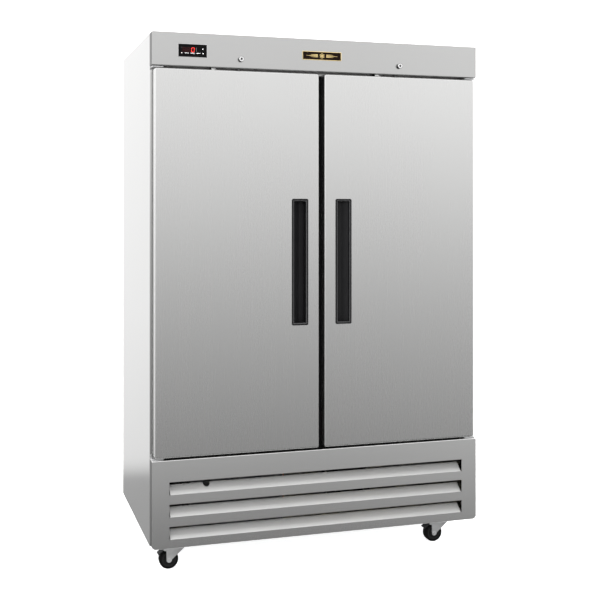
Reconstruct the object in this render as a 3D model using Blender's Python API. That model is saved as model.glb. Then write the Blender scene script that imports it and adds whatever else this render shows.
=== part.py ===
"""Two-door reach-in refrigerator with its condensing unit below, on four swivel casters.

Metres, +Z up. The origin is on the floor, under the middle of the cabinet's outline.
+X is to the right and the doors face -Y. Most pieces are laid out in cabinet terms:
x across, "depth" back from the doors' front face and "height" above the cabinet's underside.
"""

import math

import bmesh
import bpy

# Cabinet
WIDTH = 1.375
DEPTH = 0.835
BODY_HEIGHT = 1.994
CASTER_HEIGHT = 0.102
HALF_WIDTH = WIDTH / 2
SHEET = 0.0012
GAP = 0.0003
FRAME_DEPTH = 0.054
SIDE_FLANGE = 0.024
MACHINE_TOP = 0.342
BEND_RADIUS = 0.007
PAN_BEND_RADIUS = 0.0025
BEND_STEPS = 3

# Food compartment
CAVITY_HALF = 0.6275
CAVITY_BACK = 0.775
CAVITY_LOW = 0.384
CAVITY_HIGH = 1.931
BEAM_BACK = 0.116
LINER_SHEET = 0.001
OPENING_HALF = 0.626
OPENING_LOW = 0.386
OPENING_HIGH = 1.818
FRAME_LOW = 0.290
MULLION_HALF = 0.042
MULLION_BACK = 0.100
MULLION_FLANGE = (0.333, 1.870)
PILASTER_HALF = 0.0125
PILASTER_PROUD = 0.004

# Header
HEADER_LOW = 1.864
HEADER_LIP = 0.030
DISPLAY_X = -0.529
DISPLAY_HEIGHT = 1.9248
DISPLAY_HALF = (0.0574, 0.0255)
DISPLAY_BODY_BACK = 0.038
WINDOW_MARGIN = 0.004
PLATE_CORNER = 0.002
BADGE_HALF = (0.0823, 0.0172)
BADGE_HEIGHT = 1.9265
PLATE_PROUD = 0.0018

# Locks
LOCK_X = 0.336
LOCK_HEIGHT = 1.899
LOCK_PROUD = 0.012
LOCK_FLANGE_RADIUS = 0.0103
LOCK_BARREL_RADIUS = 0.009
LOCK_BORE_RADIUS = 0.0064
LOCK_PLUG_RADIUS = 0.006
LOCK_PLUG_INSET = 0.0012
KEYWAY_HALF = (0.0007, 0.0035)
KEYWAY_DEEP = 0.006
LOCK_BARREL_BACK = 0.036
CAM_FRONT = 0.0385
CAM_SHEET = 0.003
CAM_REACH = 0.0405
CAM_HALF = 0.006

# Doors
DOOR_OUTER = 0.677
DOOR_INNER = 0.0115
DOOR_LOW = 0.348
DOOR_HIGH = 1.855
DOOR_CENTRE = (DOOR_OUTER + DOOR_INNER) / 2
SKIN_BACK = 0.043
CORE_BACK = 0.0445
GASKET_OUTER = 0.657
GASKET_INNER = 0.0195
GASKET_LOW = 0.358
GASKET_HIGH = 1.845
GASKET_WIDTH = 0.018
PIVOT_X = 0.657
PIVOT_DEPTH = 0.020
PIN_RADIUS = 0.005
PIN_HOLE_RADIUS = 0.0057
PIN_REACH = 0.016

# Door handles
HANDLE_X = 0.0923
HANDLE_HEIGHT = 1.0975
HANDLE_RIM_HALF = (0.0345, 0.2535)
HANDLE_TUB_HALF = (0.0285, 0.2475)
HANDLE_POCKET_HALF = (0.0240, 0.2430)
HANDLE_TUB_BACK = 0.034
HANDLE_DEEP = 0.030
HANDLE_SHALLOW = 0.010
HANDLE_CORNER = 0.006

# Door switches
SWITCH_OFFSET = -0.0975
SWITCH_HEIGHT = 1.8590
PLUNGER_RADIUS = 0.0030
PLUNGER_HOLE_RADIUS = 0.0036
PLUNGER_BACK = 0.064
STRIKER_FRONT = 0.0222
STRIKER_SHEET = 0.0018
STRIKER_HALF = 0.009
STRIKER_TOP = 1.8625

# Hinge brackets
BRACKET_SHEET = 0.005
BRACKET_TAB = 0.003
BRACKET_X = (0.637, 0.6855)
BRACKET_FRONT = 0.008
BRACKET_TAB_HEIGHT = 0.040
BRACKET_CORNER = 0.012
BRACKET_CLEARANCE = 0.002

# Louvred base
GRILLE_HIGH = 0.3406
GRILLE_TOP_LIP = 0.046
GRILLE_LOW_LIP = 0.020
GRILLE_CORNER = 0.015
SLOT_HALF = 0.6195
SLOT_HEIGHT = 0.0495
SLOT_PITCH = 0.0860
SLOT_LOW = 0.0345
SLOT_COUNT = 3
FLAP_ANGLE = math.radians(49.5)
FLAP_INSET = 0.004
NOTCH_X = -0.468
NOTCH_RADIUS = 0.0145

# Shelves
SHELF_X = (0.008, 0.619)
SHELF_DEPTH = (0.125, 0.700)
SHELF_SHEET = 0.006
SHELF_HEIGHTS = (0.700, 1.050, 1.400)
SHELF_COLUMNS = 4
SHELF_ROWS = 3
SHELF_RIM = 0.020

# Evaporator
EVAPORATOR_HALF = 0.300
EVAPORATOR_DEPTH = (0.220, 0.700)
EVAPORATOR_HEIGHT = (1.745, 1.9285)
EVAPORATOR_FAN_RADIUS = 0.070
EVAPORATOR_FAN_HEIGHT = 1.837
EVAPORATOR_FAN_DEPTH = 0.240
EVAPORATOR_RING_RADIUS = 0.076
EVAPORATOR_MOTOR_RADIUS = 0.034
EVAPORATOR_MOTOR_DEPTH = (0.260, 0.315)
EVAPORATOR_FOOT_HALF = 0.012
EVAPORATOR_FOOT_DEPTH = (0.275, 0.300)
INTAKE_DEPTH = (0.560, 0.660)
INTAKE_HALF = 0.025
INTAKE_PITCH = 0.075
INTAKE_COUNT = 7
EVAPORATOR_COIL_X = (-0.270, 0.270)
EVAPORATOR_COIL_DEPTH = (0.360, 0.500)
EVAPORATOR_COIL_HEIGHT = (1.775, 1.925)
FIN_PACKS = 12
FIN_GROOVE_WIDTH_SHARE = 0.24
FIN_GROOVE_DEPTH_SHARE = 0.25

# Fan blades, as shares of the fan's radius where they aren't lengths
FAN_BLADES = 5
FAN_HUB_SHARE = 0.28
FAN_HUB_HALF = 0.011
BLADE_ROOT_SHARE = 0.224
BLADE_PITCH = math.radians(26)
BLADE_DEPTH_SHARE = 0.5
BLADE_HALF_SHEET = 0.0008
BLADE_CHORDS = (0.016, 0.030, 0.034)

# Condensing unit
CONDENSER_X = (-0.530, -0.130)
CONDENSER_DEPTH = (0.085, 0.145)
CONDENSER_HEIGHT = (0.035, 0.300)
SHROUD_BACK = 0.215
CONDENSER_FAN_RADIUS = 0.108
CONDENSER_FAN_DEPTH = 0.222
SHROUD_RING_RADIUS = 0.115
CONDENSER_MOTOR_RADIUS = 0.036
CONDENSER_MOTOR_DEPTH = (0.150, 0.200)
STRUT_DEPTH = (0.160, 0.166)
STRUT_HALF = 0.010
COMPRESSOR_X = 0.300
COMPRESSOR_DEPTH = 0.520
COMPRESSOR_RADIUS = 0.085
COMPRESSOR_PLATE_HALF = (0.105, 0.070)
COMPRESSOR_PLATE_HEIGHT = 0.0175
TERMINAL_REACH = 0.030
TERMINAL_SINK = 0.012
TERMINAL_HALF = 0.030
TERMINAL_HEIGHT = (0.070, 0.130)
CAN_PROFILE = ((0.82, 0.016), (1.0, 0.040), (1.0, 0.140), (0.86, 0.172), (0.50, 0.190))
PAN_X = (-0.500, -0.100)
PAN_DEPTH = (0.600, 0.800)
PAN_HEIGHT = 0.050
PAN_WALL = 0.002
REAR_PANEL_INSET = 0.004
CHASSIS_SHEET = 0.002
CHASSIS_WALL = 0.030
GLAND_X = 0.520
GLAND_HEIGHT = 0.090
GLAND_RADIUS = 0.015
GLAND_BORE_RADIUS = 0.006
GLAND_LENGTH = 0.014
AIR_SLOT_SIZE = (0.200, 0.012)
AIR_SLOT_X = (-0.340, -0.060, 0.220)
AIR_SLOT_LOW = 0.110
AIR_SLOT_PITCH = 0.050
AIR_SLOT_ROWS = 4

# Casters
CASTER_X = 0.566
CASTER_FRONT_DEPTH = 0.085
CASTER_REAR_DEPTH = 0.750
CASTER_TRAIL = 0.043
WHEEL_RADIUS = 0.038
WHEEL_HALF_TREAD = 0.016
WHEEL_HALF_HUB = 0.0195
WHEEL_BORE_RADIUS = 0.0044
WHEEL_HUB_RADIUS = 0.012
WHEEL_RIM_RADIUS = 0.0266
TREAD_CHAMFER = 0.003
AXLE_RADIUS = 0.0040
LEG_INNER = 0.0205
LEG_SHEET = 0.0025
PEDAL_PIVOT = (-0.017, 0.041)
PEDAL_TIP = (-0.043, 0.022)
PEDAL_HALF_SHEET = 0.0015
PEDAL_HALF_WIDTH = 0.0190
PEDAL_KNUCKLE_RADIUS = 0.0026
PEDAL_PIN_RADIUS = 0.0020
CASTER_PLATE_HALF = (0.047, 0.036)
CASTER_PLATE_SHEET = 0.003
CASTER_PLATE_CORNER = 0.008
BOLT_OFFSET = (0.036, 0.025)
BOLT_HOLE_RADIUS = 0.0042
RACE_RADIUS = 0.027
RACE_LOW = 0.0930
KING_PIN_RADIUS = 0.0050
KING_PIN_HOLE_RADIUS = 0.0056
KING_PIN_HEAD_RADIUS = 0.0085
KING_PIN_HEAD = (0.0852, 0.0884)
CROWN_RADIUS = 0.0265
CROWN = (0.0892, 0.0925)
LEG_TOP = 0.0915
AXLE_BOSS_RADIUS = 0.0105
AXLE_END = 0.004
AXLE_HEAD_RADIUS = 0.0065
AXLE_HEAD_LENGTH = 0.005
EAR_RADIUS = 0.0050

ROUND_SIDES = 24
SMALL_SIDES = 16
TINY_SIDES = 12
FRONT_Y = (LOCK_PROUD - DEPTH) / 2
LEFT = -1
RIGHT = 1
SIDE_NAMES = {LEFT: "left", RIGHT: "right"}

FINISHES = {
    "brushed_stainless": ((0.62, 0.62, 0.61), 0.32, 1.0),
    "galvanised_steel": ((0.50, 0.51, 0.52), 0.45, 1.0),
    "white_liner": ((0.80, 0.81, 0.80), 0.35, 0.6),
    "foam": ((0.78, 0.70, 0.45), 0.95, 0.0),
    "door_liner": ((0.80, 0.81, 0.80), 0.35, 0.0),
    "black_plastic": ((0.02, 0.02, 0.022), 0.45, 0.0),
    "black_glass": ((0.01, 0.01, 0.012), 0.08, 0.0),
    "gasket_vinyl": ((0.05, 0.05, 0.055), 0.60, 0.0),
    "chrome": ((0.82, 0.82, 0.84), 0.12, 1.0),
    "zinc_plate": ((0.66, 0.67, 0.68), 0.35, 1.0),
    "coated_wire": ((0.75, 0.75, 0.73), 0.40, 0.0),
    "aluminium_fins": ((0.70, 0.71, 0.72), 0.50, 1.0),
    "black_paint": ((0.03, 0.03, 0.03), 0.50, 0.0),
    "black_rubber": ((0.02, 0.02, 0.02), 0.75, 0.0),
}


# ---------------------------------------------------------------- tools


def clear_scene():
    for thing in list(bpy.data.objects):
        bpy.data.objects.remove(thing, do_unlink=True)


def depth_y(depth):
    return FRONT_Y + depth


def height_z(height):
    return CASTER_HEIGHT + height


def mirrored(side, near, far):
    """The x range from near to far, counted away from the middle on one side."""
    return tuple(sorted((side * near, side * far)))


def grown(half, extra):
    return tuple(value + extra for value in half)


def finish_material(name):
    material = bpy.data.materials.get(name)
    if material is None:
        colour, roughness, metallic = FINISHES[name]
        material = bpy.data.materials.new(name)
        material.use_nodes = True
        shader = material.node_tree.nodes["Principled BSDF"]
        shader.inputs["Base Color"].default_value = (*colour, 1.0)
        shader.inputs["Roughness"].default_value = roughness
        shader.inputs["Metallic"].default_value = metallic
    return material


def object_from(name, mesh_builder):
    mesh = bpy.data.meshes.new(name)
    bmesh.ops.recalc_face_normals(mesh_builder, faces=mesh_builder.faces[:])
    mesh_builder.to_mesh(mesh)
    mesh_builder.free()
    thing = bpy.data.objects.new(name, mesh)
    bpy.context.scene.collection.objects.link(thing)
    return thing


def world_block(name, x, y, z):
    """A box between the low and high ends of three world ranges."""
    shape = bmesh.new()
    bmesh.ops.create_cube(shape, size=1.0)
    size = (x[1] - x[0], y[1] - y[0], z[1] - z[0])
    middle = ((x[0] + x[1]) / 2, (y[0] + y[1]) / 2, (z[0] + z[1]) / 2)
    bmesh.ops.scale(shape, vec=size, verts=shape.verts)
    bmesh.ops.translate(shape, vec=middle, verts=shape.verts)
    return object_from(name, shape)


def block(name, x, depth, height):
    """A box in cabinet terms."""
    y = (depth_y(depth[0]), depth_y(depth[1]))
    z = (height_z(height[0]), height_z(height[1]))
    return world_block(name, x, y, z)


def prism(name, outline, axis, start, end):
    """An outline of two coordinates, extruded along the third world axis from start to end."""
    shape = bmesh.new()
    corners = []
    for first, second in outline:
        point = [first, second]
        point.insert("XYZ".index(axis), start)
        corners.append(shape.verts.new(point))
    face = shape.faces.new(corners)
    raised = bmesh.ops.extrude_face_region(shape, geom=[face])
    far_end = [item for item in raised["geom"] if isinstance(item, bmesh.types.BMVert)]
    offset = [0.0, 0.0, 0.0]
    offset["XYZ".index(axis)] = end - start
    bmesh.ops.translate(shape, vec=offset, verts=far_end)
    return object_from(name, shape)


def arc(centre, radius, start_degrees, end_degrees, steps):
    """Points of an arc, both ends included."""
    points = []
    for step in range(steps + 1):
        angle = math.radians(start_degrees + (end_degrees - start_degrees) * step / steps)
        x = centre[0] + radius * math.cos(angle)
        y = centre[1] + radius * math.sin(angle)
        points.append((x, y))
    return points


def rounded_outline(half, radius, steps=4):
    """A rectangle about zero with round corners."""
    points = []
    for turn, (across, up) in enumerate(((1, 1), (-1, 1), (-1, -1), (1, -1))):
        centre = (across * (half[0] - radius), up * (half[1] - radius))
        points += arc(centre, radius, 90 * turn, 90 * turn + 90, steps)
    return points


def rod(name, centre, radius, axis, start, end, sides=ROUND_SIDES):
    """A cylinder with a flat of its side facing down or front."""
    step = 360 / sides
    apothem = radius / math.cos(math.radians(step / 2))
    outline = arc(centre, apothem, step / 2, 360 - step / 2, sides - 1)
    return prism(name, outline, axis, start, end)


def turned(name, profile, axis, capped=False):
    """A profile of (radius, height) points turned about a world axis through the origin.

    The profile closes on itself round a bore, or is capped flat at both ends.
    """
    shape = bmesh.new()
    step = 2 * math.pi / ROUND_SIDES
    rings = []
    for radius, height in profile:
        ring = []
        for index in range(ROUND_SIDES):
            angle = step * (index + 0.5)
            reach = radius / math.cos(step / 2)
            point = [reach * math.cos(angle), reach * math.sin(angle)]
            point.insert("XYZ".index(axis), height)
            ring.append(shape.verts.new(point))
        rings.append(ring)
    for first, second in zip(rings, rings[1:] if capped else rings[1:] + rings[:1]):
        for index in range(ROUND_SIDES):
            after = (index + 1) % ROUND_SIDES
            shape.faces.new((first[index], first[after], second[after], second[index]))
    if capped:
        shape.faces.new(rings[0])
        shape.faces.new(rings[-1])
    return object_from(name, shape)


def moved(thing, x=0.0, y=0.0, z=0.0):
    for vertex in thing.data.vertices:
        vertex.co.x += x
        vertex.co.y += y
        vertex.co.z += z
    return thing


def bevel(thing, radius, wanted, steps=BEND_STEPS):
    """Rounds the edges whose two ends both pass the test."""
    shape = bmesh.new()
    shape.from_mesh(thing.data)
    edges = [edge for edge in shape.edges if all(wanted(end.co) for end in edge.verts)]
    bmesh.ops.bevel(
        shape, geom=edges, offset=radius, segments=steps, profile=0.5, affect="EDGES"
    )
    shape.to_mesh(thing.data)
    shape.free()
    return thing


def combine(target, tools, operation):
    """Applies a Boolean of each tool to the target and removes the tools."""
    for tool in tools:
        modifier = target.modifiers.new(operation, "BOOLEAN")
        modifier.operation = operation
        modifier.object = tool
    graph = bpy.context.evaluated_depsgraph_get()
    result = bpy.data.meshes.new_from_object(target.evaluated_get(graph))
    target.modifiers.clear()
    target.data = result
    for tool in tools:
        bpy.data.objects.remove(tool, do_unlink=True)
    return target


def cut(target, *tools):
    return combine(target, tools, "DIFFERENCE")


def join(target, *tools):
    return combine(target, tools, "UNION")


def done(thing, finish, origin=None):
    """Gives the piece its material, and its origin if it moves about one."""
    thing.data.materials.clear()
    thing.data.materials.append(finish_material(finish))
    thing.data.shade_smooth()
    thing.data.set_sharp_from_angle(angle=math.radians(30))
    thing.data.name = thing.name
    if origin is not None:
        moved(thing, *(-value for value in origin))
        thing.location = origin
    return thing


def joint_empty(name, location, parent=None):
    """An empty on a joint's axis, which carries the pieces that move with it."""
    empty = bpy.data.objects.new(name, None)
    bpy.context.scene.collection.objects.link(empty)
    empty.location = location
    if parent is not None:
        empty.parent = parent
        empty.matrix_parent_inverse = parent.matrix_basis.inverted()
    return empty


def on_joint(thing, empty, finish):
    """Finishes a piece that is built in place and moves with an empty."""
    bpy.context.view_layer.update()
    done(thing, finish)
    thing.parent = empty
    thing.matrix_parent_inverse = empty.matrix_world.inverted()
    return thing


def front_rounded(name, x, depth, height, radius, low_corner=0.0):
    """A block whose front edges are rounded, and its two low corners too where a radius is given."""
    shape = block(name, x, depth, height)
    if low_corner:
        for end in x:
            low = height_z(height[0]) + GAP
            bevel(shape, low_corner, lambda point: abs(point.x - end) < GAP and point.z < low)
    front = depth_y(depth[0]) + GAP
    return bevel(shape, radius, lambda point: point.y < front)


def front_pan(name, x, depth, height, radius, low_corner=0.0):
    """A sheet-metal pan open to the back, with rounded edges round its front face."""
    outer = front_rounded(name, x, depth, height, radius, low_corner)
    inner_x = (x[0] + SHEET, x[1] - SHEET)
    inner_depth = (depth[0] + SHEET, depth[1] + SHEET)
    inner_height = (height[0] + SHEET, height[1] - SHEET)
    inner_corner = max(low_corner - SHEET, 0.0)
    inner_radius = radius - SHEET
    hollow = front_rounded("hollow", inner_x, inner_depth, inner_height, inner_radius, inner_corner)
    return cut(outer, hollow)


def top_pan(name, x, depth, height, wall):
    """A tray open at the top."""
    tray = block(name, x, depth, height)
    inner_x = (x[0] + wall, x[1] - wall)
    inner_depth = (depth[0] + wall, depth[1] - wall)
    return cut(tray, block(name + "_hollow", inner_x, inner_depth, (height[0] + wall, height[1] + wall)))


# ---------------------------------------------------------------- cabinet


def side_panel(side):
    name = f"side_panel_{SIDE_NAMES[side]}"
    tall = (0.0, BODY_HEIGHT)
    sheet = block(name, mirrored(side, HALF_WIDTH - SHEET, HALF_WIDTH), (FRAME_DEPTH, DEPTH), tall)
    flange_x = mirrored(side, HALF_WIDTH - SIDE_FLANGE, HALF_WIDTH)
    join(sheet, block("flange", flange_x, (FRAME_DEPTH, FRAME_DEPTH + SHEET), tall))
    done(sheet, "brushed_stainless")


def inside_x():
    return (-(HALF_WIDTH - SHEET - GAP), HALF_WIDTH - SHEET - GAP)


def top_panel():
    deep = (FRAME_DEPTH + SHEET + GAP, DEPTH)
    done(block("top_panel", inside_x(), deep, (BODY_HEIGHT - SHEET, BODY_HEIGHT)), "galvanised_steel")


def back_panel():
    tall = (MACHINE_TOP + GAP, BODY_HEIGHT - SHEET - GAP)
    done(block("back_panel", inside_x(), (DEPTH - SHEET, DEPTH), tall), "galvanised_steel")


def cavity(name, inset, front_depth):
    """The food compartment as a solid: the room inside and the lower mouth below the header beam."""
    x = (-(CAVITY_HALF - inset), CAVITY_HALF - inset)
    low = CAVITY_LOW + inset
    room = block(name, x, (BEAM_BACK + inset, CAVITY_BACK - inset), (low, CAVITY_HIGH - inset))
    mouth_top = OPENING_HIGH + 2 * LINER_SHEET - inset
    mouth = block("mouth", x, (front_depth, BEAM_BACK + SIDE_FLANGE), (low, mouth_top))
    return join(room, mouth)


def foam_front():
    return FRAME_DEPTH + SHEET + GAP


def switch_x(side):
    return side * DOOR_CENTRE + SWITCH_OFFSET


def plunger_rod(name, side, radius, start, end):
    centre = (switch_x(side), height_z(SWITCH_HEIGHT))
    return rod(name, centre, radius, "Y", depth_y(start), depth_y(end), SMALL_SIDES)


def foam_insulation():
    tall = (MACHINE_TOP, BODY_HEIGHT - SHEET - GAP)
    deep = (foam_front(), DEPTH - SHEET - GAP)
    foam = block("foam_insulation", inside_x(), deep, tall)
    cut(foam, cavity("foam_hollow", 0.0, FRAME_DEPTH))
    pocket_end = PLUNGER_BACK + 2 * PLUNGER_RADIUS
    for side in (LEFT, RIGHT):
        cut(foam, plunger_rod("pocket", side, 2 * PLUNGER_RADIUS, FRAME_DEPTH, pocket_end))
    done(foam, "foam")


def pilaster(x, depth):
    return block("pilaster", x, depth, (CAVITY_LOW + 2 * LINER_SHEET, EVAPORATOR_HEIGHT[0]))


def inner_liner():
    liner = cavity("inner_liner", GAP, foam_front())
    cut(liner, cavity("liner_hollow", GAP + LINER_SHEET, FRAME_DEPTH - GAP))
    wall_x = CAVITY_HALF - GAP - LINER_SHEET / 2
    back = CAVITY_BACK - GAP - LINER_SHEET / 2
    for side in (LEFT, RIGHT):
        strip_x = mirrored(side, CAVITY_HALF - GAP - LINER_SHEET - PILASTER_PROUD, wall_x)
        for depth in (SHELF_DEPTH[0] + 2 * SHELF_RIM, SHELF_DEPTH[1] - 2 * SHELF_RIM):
            join(liner, pilaster(strip_x, (depth - PILASTER_HALF, depth + PILASTER_HALF)))
    middle_depth = (CAVITY_BACK - GAP - LINER_SHEET - PILASTER_PROUD, back)
    join(liner, pilaster((-PILASTER_HALF, PILASTER_HALF), middle_depth))
    done(liner, "white_liner")


def face_frame():
    half = HALF_WIDTH - SIDE_FLANGE - GAP
    deep = (FRAME_DEPTH, FRAME_DEPTH + SHEET)
    frame = block("face_frame", (-half, half), deep, (FRAME_LOW, BODY_HEIGHT - 2 * SHEET))
    through = (FRAME_DEPTH - SHEET, FRAME_DEPTH + 2 * SHEET)
    cut(frame, block("opening", (-OPENING_HALF, OPENING_HALF), through, (OPENING_LOW, OPENING_HIGH)))
    notch_half = MULLION_HALF + GAP
    notch_height = (MULLION_FLANGE[0] - GAP, MULLION_FLANGE[1] + GAP)
    cut(frame, block("mullion_notch", (-notch_half, notch_half), through, notch_height))
    for side in (LEFT, RIGHT):
        cut(frame, plunger_rod("hole", side, PLUNGER_HOLE_RADIUS, *through))
    done(frame, "brushed_stainless")


def center_mullion():
    """The post between the doors, with a flange that closes the gap up to the header and the base."""
    tall = (OPENING_LOW + GAP, OPENING_HIGH - GAP)
    mullion = block("center_mullion", (-MULLION_HALF, MULLION_HALF), (FRAME_DEPTH, MULLION_BACK), tall)
    back = depth_y(MULLION_BACK) - GAP
    bevel(mullion, BEND_RADIUS, lambda point: point.y > back)
    flange_depth = (FRAME_DEPTH, FRAME_DEPTH + SHEET)
    join(mullion, block("flange", (-MULLION_HALF, MULLION_HALF), flange_depth, MULLION_FLANGE))
    done(mullion, "black_plastic")


def base_chassis():
    deep = (foam_front(), DEPTH - REAR_PANEL_INSET - SHEET - GAP)
    tray = top_pan("base_chassis", inside_x(), deep, (0.0, CHASSIS_WALL), CHASSIS_SHEET)
    done(tray, "galvanised_steel")


def machine_rear_panel():
    """Closes the machine compartment, with air slots and the power cord's gland."""
    back = DEPTH - REAR_PANEL_INSET
    panel = block("machine_rear_panel", inside_x(), (back - SHEET, back), (0.0, MACHINE_TOP - GAP))
    through = (back - 2 * SHEET, back + SHEET)
    for middle in AIR_SLOT_X:
        slot_x = (middle - AIR_SLOT_SIZE[0] / 2, middle + AIR_SLOT_SIZE[0] / 2)
        for row in range(AIR_SLOT_ROWS):
            low = AIR_SLOT_LOW + row * AIR_SLOT_PITCH
            cut(panel, block("air_slot", slot_x, through, (low, low + AIR_SLOT_SIZE[1])))
    centre = (GLAND_X, height_z(GLAND_HEIGHT))
    ends = (depth_y(DEPTH - GLAND_LENGTH), depth_y(DEPTH))
    join(panel, rod("gland", centre, GLAND_RADIUS, "Y", *ends, SMALL_SIDES))
    bore_ends = (ends[0] - SHEET, ends[1] + SHEET)
    cut(panel, rod("gland_bore", centre, GLAND_BORE_RADIUS, "Y", *bore_ends, SMALL_SIDES))
    done(panel, "galvanised_steel")


# ---------------------------------------------------------------- header


def header_panel():
    deep = (0.0, FRAME_DEPTH - GAP)
    full = (-HALF_WIDTH, HALF_WIDTH)
    header = front_pan("header_panel", full, deep, (HEADER_LOW, BODY_HEIGHT), PAN_BEND_RADIUS)
    inner = HALF_WIDTH - SHEET
    lip_cut = (HEADER_LOW - SHEET, HEADER_LOW + 2 * SHEET)
    cut(header, block("lip_cut", (-inner, inner), (HEADER_LIP, FRAME_DEPTH), lip_cut))
    half = grown(DISPLAY_HALF, -WINDOW_MARGIN)
    window_x = (DISPLAY_X - half[0], DISPLAY_X + half[0])
    window_height = (DISPLAY_HEIGHT - half[1], DISPLAY_HEIGHT + half[1])
    cut(header, block("window", window_x, (-SHEET, 2 * SHEET), window_height))
    for side in (LEFT, RIGHT):
        cut(header, lock_rod("lock_hole", side, LOCK_BARREL_RADIUS + GAP, -SHEET, 2 * SHEET))
    done(header, "brushed_stainless")


def raised_plate(name, x, height, half, back):
    """A plate with round corners that stands on the front face."""
    outline = rounded_outline(half, PLATE_CORNER)
    points = [(x + across, height_z(height) + up) for across, up in outline]
    return prism(name, points, "Y", depth_y(-PLATE_PROUD), depth_y(back))


def controller_housing():
    housing = raised_plate("controller_housing", DISPLAY_X, DISPLAY_HEIGHT, DISPLAY_HALF, -GAP)
    half = grown(DISPLAY_HALF, -WINDOW_MARGIN - SHEET)
    body_x = (DISPLAY_X - half[0], DISPLAY_X + half[0])
    body_height = (DISPLAY_HEIGHT - half[1], DISPLAY_HEIGHT + half[1])
    join(housing, block("body", body_x, (-2 * GAP, DISPLAY_BODY_BACK), body_height))
    done(housing, "black_glass")


def name_badge():
    done(raised_plate("name_badge", 0.0, BADGE_HEIGHT, BADGE_HALF, -GAP), "black_plastic")


def lock_rod(name, side, radius, start, end):
    centre = (side * LOCK_X, height_z(LOCK_HEIGHT))
    return rod(name, centre, radius, "Y", depth_y(start), depth_y(end), ROUND_SIDES)


def lock_barrel(side):
    barrel = lock_rod(
        f"lock_barrel_{SIDE_NAMES[side]}", side, LOCK_FLANGE_RADIUS, -LOCK_PROUD, -GAP
    )
    join(barrel, lock_rod("body", side, LOCK_BARREL_RADIUS, -2 * GAP, LOCK_BARREL_BACK))
    cut(barrel, lock_rod("bore", side, LOCK_BORE_RADIUS, -LOCK_PROUD - SHEET, LOCK_BARREL_BACK + SHEET))
    done(barrel, "chrome")


def lock_plug(side):
    """The key plug with the cam on its back end, hanging down in the locked position."""
    x = side * LOCK_X
    front = LOCK_PLUG_INSET - LOCK_PROUD
    plug = lock_rod(f"lock_plug_{SIDE_NAMES[side]}", side, LOCK_PLUG_RADIUS, front, CAM_FRONT + GAP)
    cam_x = (x - CAM_HALF, x + CAM_HALF)
    cam_height = (LOCK_HEIGHT - CAM_REACH, LOCK_HEIGHT + CAM_HALF)
    join(plug, block("cam", cam_x, (CAM_FRONT, CAM_FRONT + CAM_SHEET), cam_height))
    keyway_x = (x - KEYWAY_HALF[0], x + KEYWAY_HALF[0])
    keyway_height = (LOCK_HEIGHT - KEYWAY_HALF[1], LOCK_HEIGHT + KEYWAY_HALF[1])
    cut(plug, block("keyway", keyway_x, (front - SHEET, front + KEYWAY_DEEP), keyway_height))
    done(plug, "chrome", (x, depth_y(0.0), height_z(LOCK_HEIGHT)))


def door_switch_plunger(side):
    start = STRIKER_FRONT + STRIKER_SHEET + GAP
    name = f"door_switch_plunger_{SIDE_NAMES[side]}"
    plunger = plunger_rod(name, side, PLUNGER_RADIUS, start, PLUNGER_BACK)
    done(plunger, "chrome", (switch_x(side), depth_y(start), height_z(SWITCH_HEIGHT)))


# ---------------------------------------------------------------- doors


def pin_rod(name, side, radius, low, high):
    centre = (side * PIVOT_X, depth_y(PIVOT_DEPTH))
    return rod(name, centre, radius, "Z", height_z(low), height_z(high), SMALL_SIDES)


def hinge_bracket(side, at_top):
    """A plate on the face frame that carries the pin the door turns on."""
    level = "top" if at_top else "bottom"
    low = DOOR_HIGH + BRACKET_CLEARANCE if at_top else GRILLE_HIGH + 2 * GAP
    high = low + BRACKET_SHEET
    x = mirrored(side, *BRACKET_X)
    deep = (BRACKET_FRONT, FRAME_DEPTH - GAP)
    bracket = block(f"hinge_bracket_{level}_{SIDE_NAMES[side]}", x, deep, (low, high))
    front = depth_y(BRACKET_FRONT) + GAP
    inner = side * BRACKET_X[0]
    bevel(bracket, BRACKET_CORNER, lambda point: point.y < front and abs(point.x - inner) < GAP)
    tab_height = (low, low + BRACKET_TAB_HEIGHT) if at_top else (high - BRACKET_TAB_HEIGHT, high)
    join(bracket, block("tab", x, (deep[1] - BRACKET_TAB, deep[1]), tab_height))
    middle = (low + high) / 2
    reach = PIN_REACH - BRACKET_CLEARANCE
    pin_ends = (DOOR_HIGH - reach, middle) if at_top else (middle, DOOR_LOW + reach)
    join(bracket, pin_rod("pin", side, PIN_RADIUS, *pin_ends))
    done(bracket, "zinc_plate")


def pin_holes(side):
    deep = PIN_REACH + 2 * GAP
    top = pin_rod("top_hole", side, PIN_HOLE_RADIUS, DOOR_HIGH - deep, DOOR_HIGH + deep)
    bottom = pin_rod("bottom_hole", side, PIN_HOLE_RADIUS, DOOR_LOW - deep, DOOR_LOW + deep)
    return top, bottom


def handle_prism(name, side, half, start, end, corner):
    outline = rounded_outline(half, corner)
    points = [(side * HANDLE_X + x, height_z(HANDLE_HEIGHT) + z) for x, z in outline]
    return prism(name, points, "Y", depth_y(start), depth_y(end))


def door_skin(side, empty):
    """The door's outer pan, with the striker that holds the light switch in."""
    x = mirrored(side, DOOR_INNER, DOOR_OUTER)
    name = f"door_skin_{SIDE_NAMES[side]}"
    skin = front_pan(name, x, (0.0, SKIN_BACK), (DOOR_LOW, DOOR_HIGH), BEND_RADIUS)
    centre = switch_x(side)
    striker_depth = (STRIKER_FRONT, STRIKER_FRONT + STRIKER_SHEET)
    striker_x = (centre - STRIKER_HALF, centre + STRIKER_HALF)
    striker_height = (DOOR_HIGH - SHEET / 2, STRIKER_TOP)
    join(skin, block("striker", striker_x, striker_depth, striker_height))
    hole_half = grown(HANDLE_TUB_HALF, GAP)
    cut(skin, handle_prism("hole", side, hole_half, -SHEET, 3 * SHEET, HANDLE_CORNER), *pin_holes(side))
    on_joint(skin, empty, "brushed_stainless")


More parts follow.
